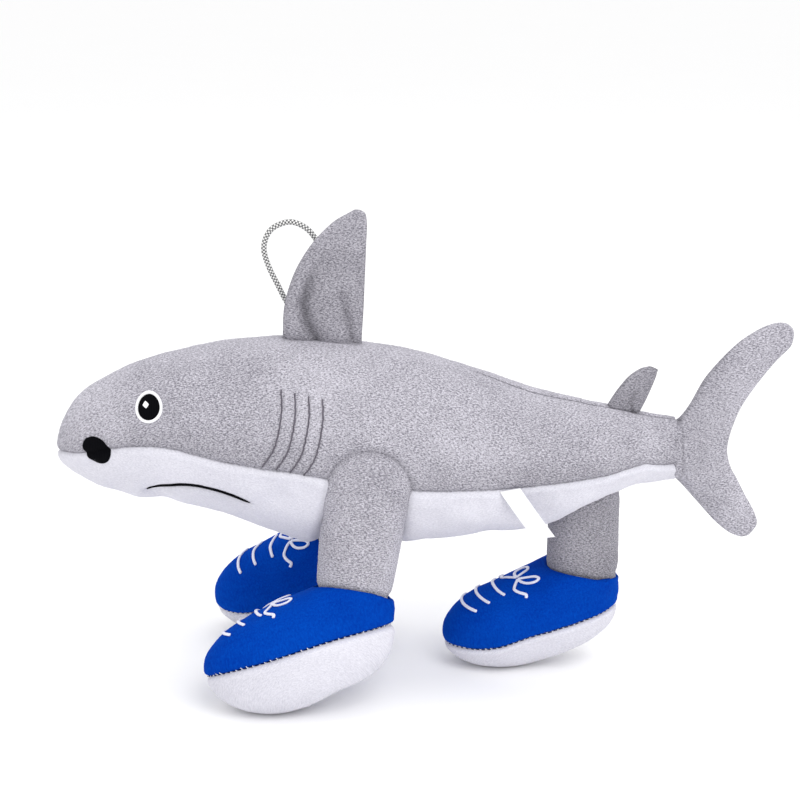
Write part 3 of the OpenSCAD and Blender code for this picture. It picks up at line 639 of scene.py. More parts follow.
def body_relief(u, a, P):
    """How far the stuffed fabric stands out from the plain form, and its painted shade: darker in seams,
    creases and hollows, lower down the grey sides and towards the tail.
    """
    x, y, z = P[..., 0], P[..., 1], P[..., 2]
    a = (a + 180) % 360 - 180
    width = np.linalg.norm(body_base(u, a + 0.5) - body_base(u, a - 0.5), axis=-1)
    to_side = (np.abs(a) - side_seam_angle(x)) * width
    to_back = (a - back_seam_angle(x)) * width
    flat = np.stack([x, z], -1)
    open_end = fade(x, 139, 125)
    sideways = np.abs(sin(a))
    d = (0.5 * noise(P, 40, 3) + 0.42 * noise(P, 19, 4) + 0.2 * noise(P, 9, 5)) * (0.2 + 0.8 * sideways)
    d *= fade(x, -200, -178) * (0.4 + 0.6 * open_end)
    blown = sample(BODY_SIM, np.interp(u, sim_u, np.arange(SIM_N)), (a % 360) * SIM_M / 360)
    d += blown * open_end * (0.25 + 0.75 * sideways)
    painted_light = np.ones(x.shape)
    pucker = np.sin(2 * np.pi * x / 6.8 + 1.7 * noise(P, 30, 6)) * np.exp(-np.abs(to_side) / 4.5)
    d += 0.2 * pucker * fade(x, -195, -170)
    d -= 1.25 * dent(to_side, 1.5) - 0.5 * np.exp(-np.abs(np.abs(to_side) - 3.6) / 2.4)
    grey_side = to_side < 0
    # painted shade along the side seam's crease, more on the grey side
    painted_light -= np.where(grey_side, 0.24, 0.08) * dent(to_side, 0.75)
    # painted shade: the grey sides darker lower down, and the body darker towards the tail's root
    painted_light -= np.where(grey_side, 0.22 * fade(np.abs(a), 68, 95), 0) + 0.12 * fade(x, 118, 139)
    seen = fade(np.abs(a), 60, 30) * fade(x, 10, 60)
    d -= 0.75 * dent(to_back, 1.2) * seen
    # painted shade in the back seam
    painted_light -= 0.5 * dent(to_back, 0.7) * seen
    side = np.abs(a) < 100
    for line in GILLS:
        g = to_line(flat, line)[0]
        d -= np.where(side, 0.42 * dent(g, 1.0) - 0.13 * dent(g - 2.1, 0.9), 0)
        # painted shade in the gill grooves
        painted_light -= np.where(side, 0.16 * dent(g, 1.0), 0)
    e = np.hypot(x - EYE[0], z - EYE[1])
    d -= np.where(side, 0.55 * dent(np.maximum(e - 6.5, 0), 2.2), 0)
    e = np.hypot(x - NOSTRIL[0], z - NOSTRIL[1])
    d -= np.where(np.abs(a) < 140, 0.7 * dent(np.maximum(e - 6.0, 0), 2.5), 0)
    g = to_line(flat, MOUTH)[0]
    below = np.interp(x, [p[0] for p in MOUTH], [p[1] for p in MOUTH]) - z
    under = (np.abs(a) > 80) & (np.abs(a) < 160)
    # the upper lip hangs over the front of the lower jaw
    d += fade(np.abs(a), 105, 150) * (1.5 * dent(x + 156, 7) - 1.3 * dent(x + 142, 6))
    inside = fade(x, -156, -149) * fade(x, -88, -98)
    hollow = inside * 0.9 * np.exp(-np.maximum(below, 0) / 7) * (below > 0)
    d -= np.where(under, 1.0 * dent(g, 1.3) + hollow, 0)
    # painted shade in the hollow under the upper lip
    painted_light -= np.where(under & (below > 0), 0.2 * inside * np.exp(-np.maximum(below, 0) / 3.2), 0)
    for leg, (hip, ankle) in LEGS.items():
        top = sleeve_top(leg)
        g = to_line(P, [top, ankle])[0] - SLEEVE_R[leg]
        if leg != "rear":
            g = to_line(flat, [top[[0, 2]], ankle[[0, 2]]])[0] - SLEEVE_R[leg]
            g = np.where(y * hip[1] > 0, g, 99)
        d -= 1.3 * dent(g, 2.2) + np.clip(-g, 0, 3)
        # painted shade round the tops of the legs
        painted_light -= 0.22 * dent(g, 1.3)
    near_top = np.abs(a) < 60
    for line, half in (([(-73, 0), (-38, 0)], 3.5), ([(101, 0), (114, 0)], 2.6)):
        g = np.maximum(to_line(P[..., :2], line)[0] - half, 0)
        d -= np.where(near_top, 0.4 * dent(g, 2.0), 0)
        # painted shade round the fins' roots
        painted_light -= np.where(near_top, 0.35 * dent(g, 1.3), 0)
    return d, np.clip(painted_light, 0.3, 1)


def pile(P, size=1.5, height=0.11, seed=11):
    """Fine tufts of the brushed fabric."""
    return height * (noise(P, size, seed) + 0.6 * noise(P, size * 0.62, seed + 1))


def body_point(u, a, out):
    """Point of the stuffed body, raised by out."""
    P, N = body_base(u, a), body_normal(u, a)
    return P + N * (body_relief(u, a, P)[0] + out)[..., None]


def rows_of(n):
    """Stations spaced evenly along the skin, from the nose to the tail's seam."""
    run = run_along(body_base(DENSE, np.full(DENSE.shape, 50.0)))
    u = np.interp(np.linspace(0, run[-1], n), run, DENSE)
    return np.concatenate([[0.02, 0.1, 0.2], u[2:], [BODY_END + 0.08, BODY_END + 0.16, BODY_END + 0.2]])


BODY_CLOTH = 1.2


def panel(name, start, end, columns, material, replaced, slot, rows=400):
    """Panel of the body's cover between two seams, whose angles at x are start and end."""
    u = rows_of(rows)
    x = at(BODY, u)[:, 0]
    a0 = np.array([start(v) for v in x])[:, None]
    a1 = np.array([end(v) for v in x])[:, None]
    A = a0 + (a1 - a0) * np.linspace(0, 1, columns)[None, :]
    U = np.repeat(u[:, None], columns, 1)
    P, N = body_base(U, A), body_normal(U, A)
    d, painted_light = body_relief(U, A, P)
    # the raw edge rolls in at the tail's seam, and is painted darker there as shade
    roll = fade(x, 137.6, 139.9)[:, None]
    surface = P + N * (d + pile(P) * (0.3 + 0.7 * fade(painted_light, 0.6, 0.95)) - 1.0 * roll)[..., None]
    # and the open end is drawn in behind it, inside the tail's root
    drawn = np.interp(u, [BODY_END + 0.05, BODY_END + 0.2], [1.0, 0.35])[:, None, None]
    middle = np.array([0.0, 122.5])
    surface[..., 1:] = middle + (surface[..., 1:] - middle) * drawn
    steps = np.linalg.norm(np.diff(P, axis=1), axis=-1)
    arc = np.concatenate([np.zeros((len(u), 1)), np.cumsum(steps, 1)], 1)
    nap = np.stack([P[..., 0], arc - arc[:, [columns // 2]], np.zeros(arc.shape)], -1)
    # painted shade where the edge rolls in
    obj = fabric(name, surface, material, nap, painted_light - 0.35 * roll, BODY_CLOTH)
    declare(obj, [replaced], slot)
    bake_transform(obj)


def right_side_seam(x):
    return 360.0 - side_seam_angle(x)


def right_back_seam(x):
    return 360.0 + back_seam_angle(x)


panel("side_left", back_seam_angle, side_seam_angle, 104, GREY, "side_panel_left", "grey_plush")
panel("side_right", right_side_seam, right_back_seam, 104, GREY, "side_panel_right", "grey_plush")
panel("belly", side_seam_angle, right_side_seam, 150, WHITE, "belly_panel", "white_plush", rows=330)

# ---------------------------------------------------------------- body embroidery
MIRROR = np.array([1.0, -1.0, 1.0])
SIDES = ((1, "left"), (MIRROR, "right"))


def on_side(x, z, out):
    """Point of the body's left side at x and z, raised by out, and the direction across the fabric there."""
    u = body_u(np.asarray(x, float))
    a = body_angle(u, np.asarray(z, float))
    return body_point(u, a, np.asarray(out, float) + 0 * u), body_normal(u, a)


BLACK_FINISH = (BLACK_STITCH, "black_embroidery")
WHITE_FINISH = (WHITE_STITCH, "white_embroidery")


def patch(part, side, centre, shape, dome, edge, finish, base=0.0, turn=0.0, rows=26, around=96):
    """Embroidered patch that lies on the body: shape gives its radius in mm at each angle."""
    flip, word = side
    material, slot = finish
    phi = np.arange(around) * 360 / around
    share = np.concatenate([np.linspace(0.0, 0.86, rows), [0.93, 0.97, 0.995, 1.0, 1.0]])
    lift = dome * (1 - share**2) + edge * np.sqrt(np.clip(1 - share**6, 0, 1))
    lift[-1] = -0.6
    reach = shape(phi)[None, :] * share[:, None]
    dx, dz = reach * cos(phi + turn)[None, :], reach * sin(phi + turn)[None, :]
    P, _ = on_side(centre[0] + dx, centre[1] + dz, base + lift[:, None] + 0 * dx)
    nap = np.stack([dx, dz, 0 * dx], -1)
    obj = closed(f"{part}_patch_{word}", P[1:] * flip, material, nap[1:], np.ones((len(P) - 1, around)))
    declare(obj, [f"{part}_{word}"], slot, "torso")


def eye_ring(side, rows=9, around=140):
    """Embroidered ring round the pupil."""
    flip, word = side
    phi = np.arange(around) * 360 / around
    share = np.concatenate([np.linspace(0.0, 0.86, rows), [0.93, 0.97, 0.995, 1.0, 1.0]])
    lift = 0.85 * np.clip(1 - np.abs(2 * share - 1) ** 6, 0, 1)
    lift[0] = -0.5
    lift[-1] = -0.6
    outer, inner = 7.5 + 0.4 * cos(2 * phi - 130), 5.9 + 0.35 * cos(2 * phi - 130)
    reach = inner[None, :] + (outer - inner)[None, :] * share[:, None]
    dx, dz = reach * cos(phi)[None, :], reach * sin(phi)[None, :]
    P, _ = on_side(EYE[0] + dx, EYE[1] + dz, lift[:, None] + 0 * dx)
    nap = np.stack([np.radians(phi)[None, :] * 6.8 + 0 * dx, reach, 0 * dx], -1)
    P, nap = np.concatenate([P, P[:1]]) * flip, np.concatenate([nap, nap[:1]])
    faces = grid_faces(len(P), around, True)
    material, slot = WHITE_FINISH
    obj = outward(new_object(f"eye_ring_patch_{word}", P, faces, material, nap, np.ones(P.shape[:2])))
    declare(obj, [f"eye_ring_{word}"], slot, "torso")


GILL_STITCH_LENGTH = 2.3


def gill_threads(side):
    """Short stitches, each a little overlapped by the next, down every gill line."""
    flip, word = side
    parts = []
    for line in GILLS:
        flat = at(line, np.linspace(0, len(line) - 1, 200))
        run = run_along(flat)
        for k in range(int(run[-1] / GILL_STITCH_LENGTH)):
            a, b = k * GILL_STITCH_LENGTH - 0.35, (k + 1) * GILL_STITCH_LENGTH + 0.25
            x, z = [np.interp(np.linspace(a, b, 6), run, flat[:, i]) for i in (0, 1)]
            x = x + np.linspace(-0.17, 0.17, 6) * (1 if k % 2 else -1)
            P, N = on_side(x, z, 0.18 + 0.14 * np.sin(np.linspace(0, np.pi, 6)))
            parts.append(thread(P * flip, N * flip, 0.8, 0.6, sides=8, step=0.3, twist=0.1, pitch=0.7))
    declare(many(f"gill_threads_{word}", parts, GILL_STITCH), [f"gill_lines_{word}"], "gill_thread", "torso")


def nostril_shape(q):
    return 7.3 + 0.8 * cos(2 * q - 270)


def pupil_shape(q):
    return 6.1 + 0.35 * cos(2 * q - 130)


def glint_shape(q):
    """Diamond with slightly rounded sides."""
    return 1.8 / np.maximum(np.abs(cos(q)) ** 1.2 + np.abs(sin(q)) ** 1.2, 0.1) ** (1 / 1.2)


GLINT = (EYE[0] - 1.3, EYE[1] + 1.1)
for side in SIDES:
    gill_threads(side)
    patch("nostril", side, NOSTRIL, nostril_shape, 0.75, 0.75, BLACK_FINISH)
    patch("eye_pupil", side, EYE, pupil_shape, 0.55, 0.5, BLACK_FINISH)
    eye_ring(side)
    patch("eye_glint", side, GLINT, glint_shape, 0.12, 0.35, WHITE_FINISH, 0.85, 8, rows=8, around=48)

flat = at(MOUTH, np.linspace(0, len(MOUTH) - 1, 60))
P, N = on_side(flat[:, 0], flat[:, 1], 0.45)
lips = [thread(P * flip, N * flip, 1.75, 1.2, sides=14, step=0.2, twist=0.12, pitch=0.9, taper=0.16)
        for flip, _ in SIDES]
declare(many("mouth_thread", lips, BLACK_STITCH), ["mouth_line"], "black_embroidery", "torso")

stitches = []
for x in np.arange(30, 94, 3.4):
    xs = np.linspace(x, x + 2.5, 5)
    u = body_u(xs)
    a = back_seam_angle(xs) + 0.6 * np.linspace(-1, 1, 5)
    stitches.append(thread(body_point(u, a, 0.12 + 0 * u), body_normal(u, a), 0.6, 0.5, sides=6, step=0.4))
declare(many("back_seam_thread", stitches, GREY_STITCH), ["back_seam"], "grey_plush", "torso")


# ---------------------------------------------------------------- legs
ANKLE_R = 18.9
LEG_FILLING_R = 18


def leg_frame(leg):
    """The sleeve's top, the direction down the leg, and two directions across it."""
    top = sleeve_top(leg)
    axis = unit(LEGS[leg][1] - top)
    side = unit(np.cross(axis, np.array([0.0, 1.0, 0.0])))
    return top, axis, side, np.cross(axis, side)


def spokes_of(phi, side, other):
    return cos(phi)[None, :, None] * side + sin(phi)[None, :, None] * other


def half_round(R, w):
    return np.sqrt(np.maximum(R**2 - w**2, 0.0))


def sleeve(leg):
    """Cover of a leg: a tube with a domed top, whose lower end closes inside the shoe."""
    hip, ankle = LEGS[leg]
    top, axis, side, other = leg_frame(leg)
    rear = leg == "rear"
    length = np.linalg.norm(ankle - top)
    R = SLEEVE_R[leg]
    low = length - 5
    cap = R * (1 - cos(np.linspace(4, 90, 34))) - R
    foot = np.linspace(low, length, 8)[1:-1]
    w = np.concatenate([cap, np.arange(0.6, low, 0.62), foot, length + ANKLE_R * sin(np.linspace(0, 86, 30))])
    levels = [0, length * 0.45, length * 0.8, length - 3, length]
    r_mid = np.interp(w, levels, [R, R - 0.5, 19.8 if rear else 20.9, 19.5 if rear else 20.3, ANKLE_R])
    r = np.where(w < 0, half_round(R, w), np.where(w > length, half_round(ANKLE_R, w - length), r_mid))
    phi = np.arange(190) * 360 / 190
    spokes = spokes_of(phi, side, other)
    base = top + w[:, None, None] * axis + r[:, None, None] * spokes
    W = np.repeat(w[:, None], len(phi), 1)
    inner = np.array([0, -np.sign(hip[1]) if hip[1] else 1.0, 0])
    seam_at = np.degrees(np.arctan2(inner @ other, inner @ side))
    to_seam = ((phi - seam_at + 180) % 360 - 180)[None, :] * math.pi / 180 * r[:, None]
    d = 0.5 * noise(base, 24, 21) + 0.28 * noise(base, 11, 22) - 0.8 * dent(to_seam, 1.4)
    rows = np.sin(2 * np.pi * (W + 1.6 * noise(base, 14, 23) + 0.5 * noise(base, 3, 24)) / 1.35)
    d += 0.04 * rows * fade(W, -R, -R + 6) * fade(W, length + 2, length - 3)
    d += pile(base, 1.3, 0.13, 25)
    # it draws in where the shoe's collar is sewn round it
    d -= 0.5 * dent(W - (length - 1.5), 2.6)
    surface = base + spokes * (d * fade(W, -R, -R + 8) * fade(W, length + 14, length))[..., None]
    # painted shade along the sleeve's seam and where the collar draws it in
    painted_light = 1 - 0.35 * dent(to_seam, 1.0) - 0.12 * dent(W - length + 1, 2.5)
    if not rear:
        # its top lies against the body's side, plump inside the arch of its seam and drawn in along it
        way = np.sign(hip[1])
        edge = R - to_line(surface[..., [0, 2]], [top[[0, 2]], ankle[[0, 2]]])[0]
        u = body_u(surface[..., 0])
        flank = np.abs(body_base(u, body_angle(u, surface[..., 2]))[..., 1]) * fade(surface[..., 2], 76, 88)
        own = surface[..., 1] * way
        over = flank - 1.6 + 4.4 * (1 - np.exp(-np.maximum(edge, 0) / 4.0)) - own
        soft = own + 0.5 * (over + np.sqrt(over**2 + 3.0)) - 0.25
        outer = np.where(w[:, None] < -8, 1, fade(spokes[..., 1] * way, 0.0, 0.12))
        surface[..., 1] = way * (own + (soft - own) * outer * (flank > 20))
        # painted shade along the arch of its seam
        painted_light -= 0.18 * dent(np.maximum(edge - 0.4, 0), 0.9) * fade(W, 16, 0)
    nap = np.stack([np.radians(phi)[None, :] * 21 + 0 * W, W, 0 * W], -1)
    obj = closed(leg + "_sleeve", surface, GREY_SHADED_REAR if rear else GREY_LEG, nap, painted_light)
    replaced = [leg + "_leg"] + ([] if rear else ["shoulder_" + leg.split("_")[1]])
    declare(obj, replaced, "grey_plush")
    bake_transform(obj)


def leg_filling(leg):
    """Sausage of loose filling from hip to ankle."""
    hip, ankle = LEGS[leg]
    _, axis, side, other = leg_frame(leg)
    R = LEG_FILLING_R
    reach = np.linalg.norm(ankle - hip)
    bottom = reach + R * sin(np.linspace(0, 85, 12))
    w = np.concatenate([-R * cos(np.linspace(5, 90, 12)), np.linspace(0, reach, 16)[1:], bottom[1:]])
    r = np.where(w < 0, half_round(R, w), np.where(w > reach, half_round(R, w - reach), R))
    r = r * (0.96 if leg == "rear" else 1.0)
    base = hip + w[:, None, None] * axis + r[:, None, None] * spokes_of(np.arange(64) * 360 / 64, side, other)
    inward = hip + (w * 0.5)[:, None, None] * axis - base
    base = base + inward * (0.03 * (1 + noise(base, 7, 31)))[..., None]
    fill = closed(leg + "_leg_filling", base, FLUFF)
    declare(fill, [leg + "_leg_stuffing"], "fibre_filling", leg + "_limb")


for leg in LEGS:
    sleeve(leg)
    leg_filling(leg)

# ---------------------------------------------------------------- shoes
UPPER = np.array([
    (0, 0, 103, 0, 24.6, 0.12), (0.4, 5.5, 105, 3.6, 25.4, 0.12), (4.5, 12, 106.5, 6.8, 25.2, 0.1),
    (15, 19, 107, 9.4, 24.5, 0.07), (31, 24, 107.2, 10.8, 23.8, 0.04), (49.5, 27.4, 107, 11.6, 23.2, 0.02),
    (66.5, 30.6, 106.8, 12, 22.6, 0),
], float)
TOP_RING = len(UPPER) - 1
ANKLE = (86.7, 21.3)
MIDDLE_X = 52.0
SHOE_CLOTH = 1.0
# how far apart the upper's rings and the sole's degrees are on the fabric, in mm
RING_MM, DEGREE_MM = 6.2, 0.44
# least distance from the ankle, of the shoe's fabric and of its filling
LEG_ROOM, FILLING_ROOM = 20.4, 22.2


def shoe_shape(leg, pitch, roll, depth, long, bow, collar, shift, back):
    """How a shoe stands and is sewn: its pitch and roll in degrees, the sole's depth, the length, how far the
    seam bows up with where and how wide, how far the collar rises at its sides and heel, and how far the bars
    and the bow of the lacing sit round from the ridge and back from the toe."""
    return {"ankle": LEGS[leg][1], "pitch": pitch, "roll": roll, "depth": depth, "long": long, "bow": bow,
            "collar": collar, "shift": shift, "back": back}


SHOES = {
    "front_left": shoe_shape("front_left", 15.5, 18.0, 28.5, 1.0, bow=(1.4, 72, 26), collar=(3.4, 0.5),
                             shift=(0.0, -6.0), back=(0.0, -0.28)),
    "front_right": shoe_shape("front_right", 15.5, -18.0, 28.5, 1.0, bow=(1.0, 50, 34), collar=(3.4, 0.5),
                              shift=(8.0, -2.0), back=(0.32, 0.2)),
    "rear": shoe_shape("rear", 12.0, 0.0, 22.0, 0.965, bow=(-3.0, 24, 18), collar=(4.6, 3.4),
                       shift=(-4.0, -12.0), back=(0.0, -0.08)),
}


def shoe_out(pose, p):
    """From the shoe's own axes to the toy's. What would go below the floor is pressed flat on it."""
    pitch, roll = pose["pitch"], pose["roll"]
    way = np.array([cos(pitch), 0, sin(pitch)])
    straight = np.array([-sin(pitch), 0, cos(pitch)])
    sideways = np.array([0.0, 1.0, 0.0])
    up, over = cos(roll) * straight + sin(roll) * sideways, cos(roll) * sideways - sin(roll) * straight
    q = p - np.array([ANKLE[0], 0, ANKLE[1]])
    out = pose["ankle"] + q[..., :1] * way * pose["long"] + q[..., 1:2] * over + q[..., 2:3] * up
    z = out[..., 2]
    out[..., 2] = np.where(z < 12, 0.5 * (z + np.sqrt(z**2 + 0.8)) - 0.002, z)
    return out


def thinner(p, t):
    """The shoe's form drawn in by about t."""
    q = p.copy()
    q[..., 0] = MIDDLE_X + (p[..., 0] - MIDDLE_X) * (1 - t / 52)
    q[..., 1] = p[..., 1] * (1 - t / 25)
    q[..., 2] = p[..., 2] * (1 - t / 30)
    return q


def upper_point(j, a):
    """Point of the blue upper at ring j, at angle a from the toe."""
    r = at(UPPER, j)
    power = 0.94 + 0.06 * fade(j, 4.4, 5.6)
    bulge = np.sign(sin(a)) * np.abs(sin(a)) ** power
    c, h = (r[..., 0] + r[..., 2]) / 2, (r[..., 2] - r[..., 0]) / 2
    cz, hz = (r[..., 1] + r[..., 3]) / 2, (r[..., 3] - r[..., 1]) / 2
    return np.stack([c - h * cos(a), r[..., 4] * bulge * (1 + r[..., 5] * cos(a)), cz - hz * cos(a)], -1)


def sole_point(b, a, depth):
    """Point of the sole at angle b below its seam."""
    rim = upper_point(0 * a, a)
    inward = np.maximum(cos(b), 0) ** 0.75
    x = MIDDLE_X + (rim[..., 0] - MIDDLE_X) * inward
    return np.stack([x, rim[..., 1] * inward, -depth * sin(b) * (1 + 0.06 * cos(a))], -1)


def shoe_form(pose, t, a):
    """Point of the shoe in its own axes: t is the upper's ring, or below 0 minus the sole's angle."""
    sole = sole_point(np.maximum(-t, 0), a, pose["depth"])
    p = np.where((t >= 0)[..., None], upper_point(np.maximum(t, 0), a), sole)
    bow, place, wide = pose["bow"]
    p[..., 2] += bow * dent(p[..., 0] - place, wide) * dent(p[..., 2], 9)
    p[..., 0] -= 1.2 * fade(p[..., 0], 92, 107)
    sides, heel = pose["collar"]
    p[..., 2] += fade(t, 3.2, TOP_RING) * (sides * sin(a) ** 2 + heel * fade(-cos(a), 0.2, 1.0))
    return p


SOLE_ANGLES = np.array([84.0, 76, 68, 60, 52, 44, 36, 28, 20, 12, 5])
SHOE_SIM_T = np.concatenate([-SOLE_ANGLES, np.linspace(0, TOP_RING, 17)])
SHOE_SIM_M = 44
T, A = np.meshgrid(SHOE_SIM_T, np.arange(SHOE_SIM_M) * 360 / SHOE_SIM_M, indexing="ij")
P = shoe_form(SHOES["front_left"], T, A)
pins = np.zeros(T.shape)
pins[[0, len(SOLE_ANGLES), -2, -1]] = 1
SHOE_SIM = stuffed(P, pins, 4.0, 0.03, 2.0)
SHOE_SIM = 0.6 * (smoothed(SHOE_SIM, 1) - smoothed(SHOE_SIM, 30))


def shoe_relief(t, a, P):
    """Height of the stuffed shoe's fabric over its plain form, and its painted shade in the seam and at the
    collar.
    """
    row = np.interp(t, SHOE_SIM_T, np.arange(len(SHOE_SIM_T)))
    d = sample(SHOE_SIM, row, (a % 360) * SHOE_SIM_M / 360)
    d = d + (0.3 * noise(P, 24, 41) + 0.14 * noise(P, 10, 42)) * fade(t, -80, -30)
    step = np.where(t >= 0, t * RING_MM, -t * DEGREE_MM)
    d -= 1.3 * dent(step, 1.5) - 0.45 * np.exp(-np.abs(step - 3.8) / 2.4)
    d += 0.16 * np.sin(2 * np.pi * np.radians(a) * 40 / 4.2) * np.exp(-step / 3.0)
    to_collar = (t - TOP_RING) * 3.5
    d -= 0.5 * dent(to_collar, 2.0)
    painted_light = 1 - 0.3 * dent(step, 0.8) - 0.25 * dent(to_collar, 1.0)
    return d * fade(np.abs(t + 90), 0, 12), np.clip(painted_light, 0.3, 1)


def shoe_surface(pose, t, a):
    """Point of the shoe's plain form and the direction out of it."""
    p = shoe_form(pose, t, a)
    dt = np.where(t >= 0, 0.05, 0.6)
    before = np.where(t >= 0, np.maximum(t - dt, 0), t - dt)
    along = shoe_form(pose, t + dt, a) - shoe_form(pose, before, a)
    N = unit(np.cross(along, shoe_form(pose, t, a + 0.6) - shoe_form(pose, t, a - 0.6)))
    centre = np.array([MIDDLE_X, 0.0, 2.0])
    return p, N * np.sign(((p - centre) * N).sum(-1, keepdims=True))


def on_shoe(pose, t, a, lift):
    """Points raised over the shoe's fabric, and the direction out of it there, both in the toy's axes."""
    p, N = shoe_surface(pose, t, a)
    d = shoe_relief(t, a % 360, p)[0]
    out = unit(shoe_out(pose, p + N * 2) - shoe_out(pose, p))
    return shoe_out(pose, p + N * (d + lift)[:, None]), out


AROUND = 264


def shoe_cover(pose, t, tufts, extra=None):
    """Rings of the shoe's fabric at the values t, kept clear of the leg, with their nap and painted shade."""
    T, A = np.meshgrid(t, np.arange(AROUND) * 360 / AROUND, indexing="ij")
    p, N = shoe_surface(pose, T, A)
    d, painted_light = shoe_relief(T, A, p)
    d = d + pile(p, 1.5, tufts, 51)
    q = p + N * d[..., None]
    if extra is not None:
        q, p, painted_light = (np.concatenate([v, e]) for v, e in zip((q, p, painted_light), extra(q, p, painted_light)))
    steps = np.linalg.norm(np.diff(p, axis=0), axis=-1)
    arc = np.concatenate([np.zeros((1, AROUND)), np.cumsum(steps, 0)])
    nap = np.stack([p[..., 0], p[..., 1] * 0.5 + arc, 0 * arc], -1)
    rings = shoe_out(pose, q)
    outer = rings[: len(t)]
    away = outer - pose["ankle"]
    distance = np.linalg.norm(away, axis=-1, keepdims=True)
    least = LEG_ROOM - 0.6 * fade(t, 5.0, TOP_RING)[:, None, None]
    rings[: len(t)] = np.where(distance < least, pose["ankle"] + away / distance * least, outer)
    return rings, nap, painted_light


# the collar's rows: how large beside its rim, and how far down
COLLAR = ((0.98, -0.15), (0.955, 0.1), (0.935, 0.8), (0.925, 2.2), (0.915, 4.0))


def collar(q, p, painted_light):
    """The top edge turns in round the leg and goes down into the shoe."""
    mid = np.array([ANKLE[0], 0, ANKLE[1]])
    down = unit(np.array([[-0.3, 0.0, -0.95]]))
    rows, naps, painted_lights = [], [], []
    for k, (inward, drop) in enumerate(COLLAR, 1):
        rows.append(mid + (q[-1] - mid) * inward + down * drop)
        naps.append(p[-1] + np.array([0, 0, 1.0]) * k)
        # painted shade, deeper down into the shoe
        painted_lights.append(np.maximum(painted_light[-1] - 0.08 * k, 0.35))
    return np.array(rows), np.array(naps), np.array(painted_lights)


def shoe_upper(leg, pose):
    last = TOP_RING - 0.5
    t = [np.linspace(0, 0.6, 9), np.linspace(0.6, last, 66)[1:], np.linspace(last, TOP_RING, 9)[1:]]
    rings, nap, painted_light = shoe_cover(pose, np.concatenate(t), 0.07, collar)
    upper = fabric(leg + "_shoe_upper", rings, BLUE, nap, painted_light, SHOE_CLOTH, wrap=True)
    declare(upper, [leg + "_upper"], "shoe_fabric", leg + "_shoe")


def shoe_sole(leg, pose):
    t = -np.concatenate([[88, 84, 80], np.linspace(77, 6, 58), np.linspace(6, 0, 11)[1:]])
    t[-1] = -0.001
    rings, nap, painted_light = shoe_cover(pose, t, 0.1)
    # the white fabric turns in under the seam, and closes over itself inside
    inner = shoe_out(pose, np.array([[MIDDLE_X, 0, 0.0]]))[0]
    turned = [inner + (rings[-1:] - inner) * k for k in (0.975, 0.95)]
    nap, painted_light = [np.concatenate([g, g[-1:], g[-1:]]) for g in (nap, painted_light)]
    sole = closed(leg + "_shoe_sole", np.concatenate([rings, *turned]), WHITE, nap, painted_light)
    declare(sole, [leg + "_sole"], "white_plush", leg + "_shoe")


def seam_stitches(leg, pose):
    """Blue whip stitches over the seam, and white ticks between most of them."""
    angle = np.linspace(0, 360, 721)
    run = run_along(shoe_form(pose, 0 * angle, angle))
    count = int(run[-1] / 3.3)
    wide = 360 / count
    share = np.linspace(0, 1, 6)
    blue, white = [], []

    def stitch(place, lean, low, high, width):
        mm = low + (high - low) * share
        t = np.where(mm >= 0, mm / RING_MM, mm / DEGREE_MM)
        a = place + (share - 0.5) * wide * lean * 2
        q, out = on_shoe(pose, t, a, 0.42 + 0.2 * np.sin(np.pi * share))
        clear = q[:, 2].min() >= 0.6
        return [thread(q, out, width, 0.4, sides=7, step=0.35, twist=0.05)] if clear else []

    for k in range(count):
        mid = np.interp((k + 0.5) * run[-1] / count, run, angle)
        blue += stitch(mid, 0.3, -0.15, 0.2, 0.55)
        if (k * 7) % 6 != 0:
            white += stitch(mid + wide * 0.5, 0.05, -0.3, 1.3 + 0.7 * math.sin(5.0 * k), 0.42)
    body = leg + "_shoe"
    declare(many(leg + "_seam_stitches", blue, BLUE_STITCH), [leg + "_sole_seam"], "seam_thread", body)
    declare(many(leg + "_seam_ticks", white, WHITE_STITCH), [], "lace_thread", body)


BOW_LOOP = [(5.0, 2), (4.99, 11), (5.05, 21), (5.22, 26), (5.4, 23), (5.4, 14), (5.18, 6), (5.0, 2)]
BOW_TAIL = [(5.0, 2), (4.8, 10), (4.58, 20), (4.48, 31), (4.4, 41), (4.16, 47)]


def laces(leg, pose):
    """Three bars and a bow: each line's points are a ring and an angle off the ridge."""
    shift, bow_shift = pose["shift"]
    back, bow_back = pose["back"]
    reach = 2.5 if leg == "front_right" else 3
    lines = []
    for ring in (3.0, 3.6, 4.2):
        lines.append([(ring + back - 0.01 * k * k, 10 * k + shift) for k in np.linspace(-reach, reach, 9)])
    for half in (1, -1):
        for line in (BOW_LOOP, BOW_TAIL):
            lines.append([(ring + bow_back, half * turn + bow_shift) for ring, turn in line])
    parts = []
    for line in lines:
        line = at(line, np.linspace(0, len(line) - 1, 6 * len(line)))
        q, out = on_shoe(pose, line[:, 0], line[:, 1], 0.42)
        parts.append(thread(q, out, 1.75, 1.15, sides=12, step=0.22, twist=0.05, pitch=0.85, taper=0.0))
    obj = many(leg + "_lace_threads", parts, LACE_STITCH)
    declare(obj, [leg + "_laces"], "lace_thread", leg + "_shoe")


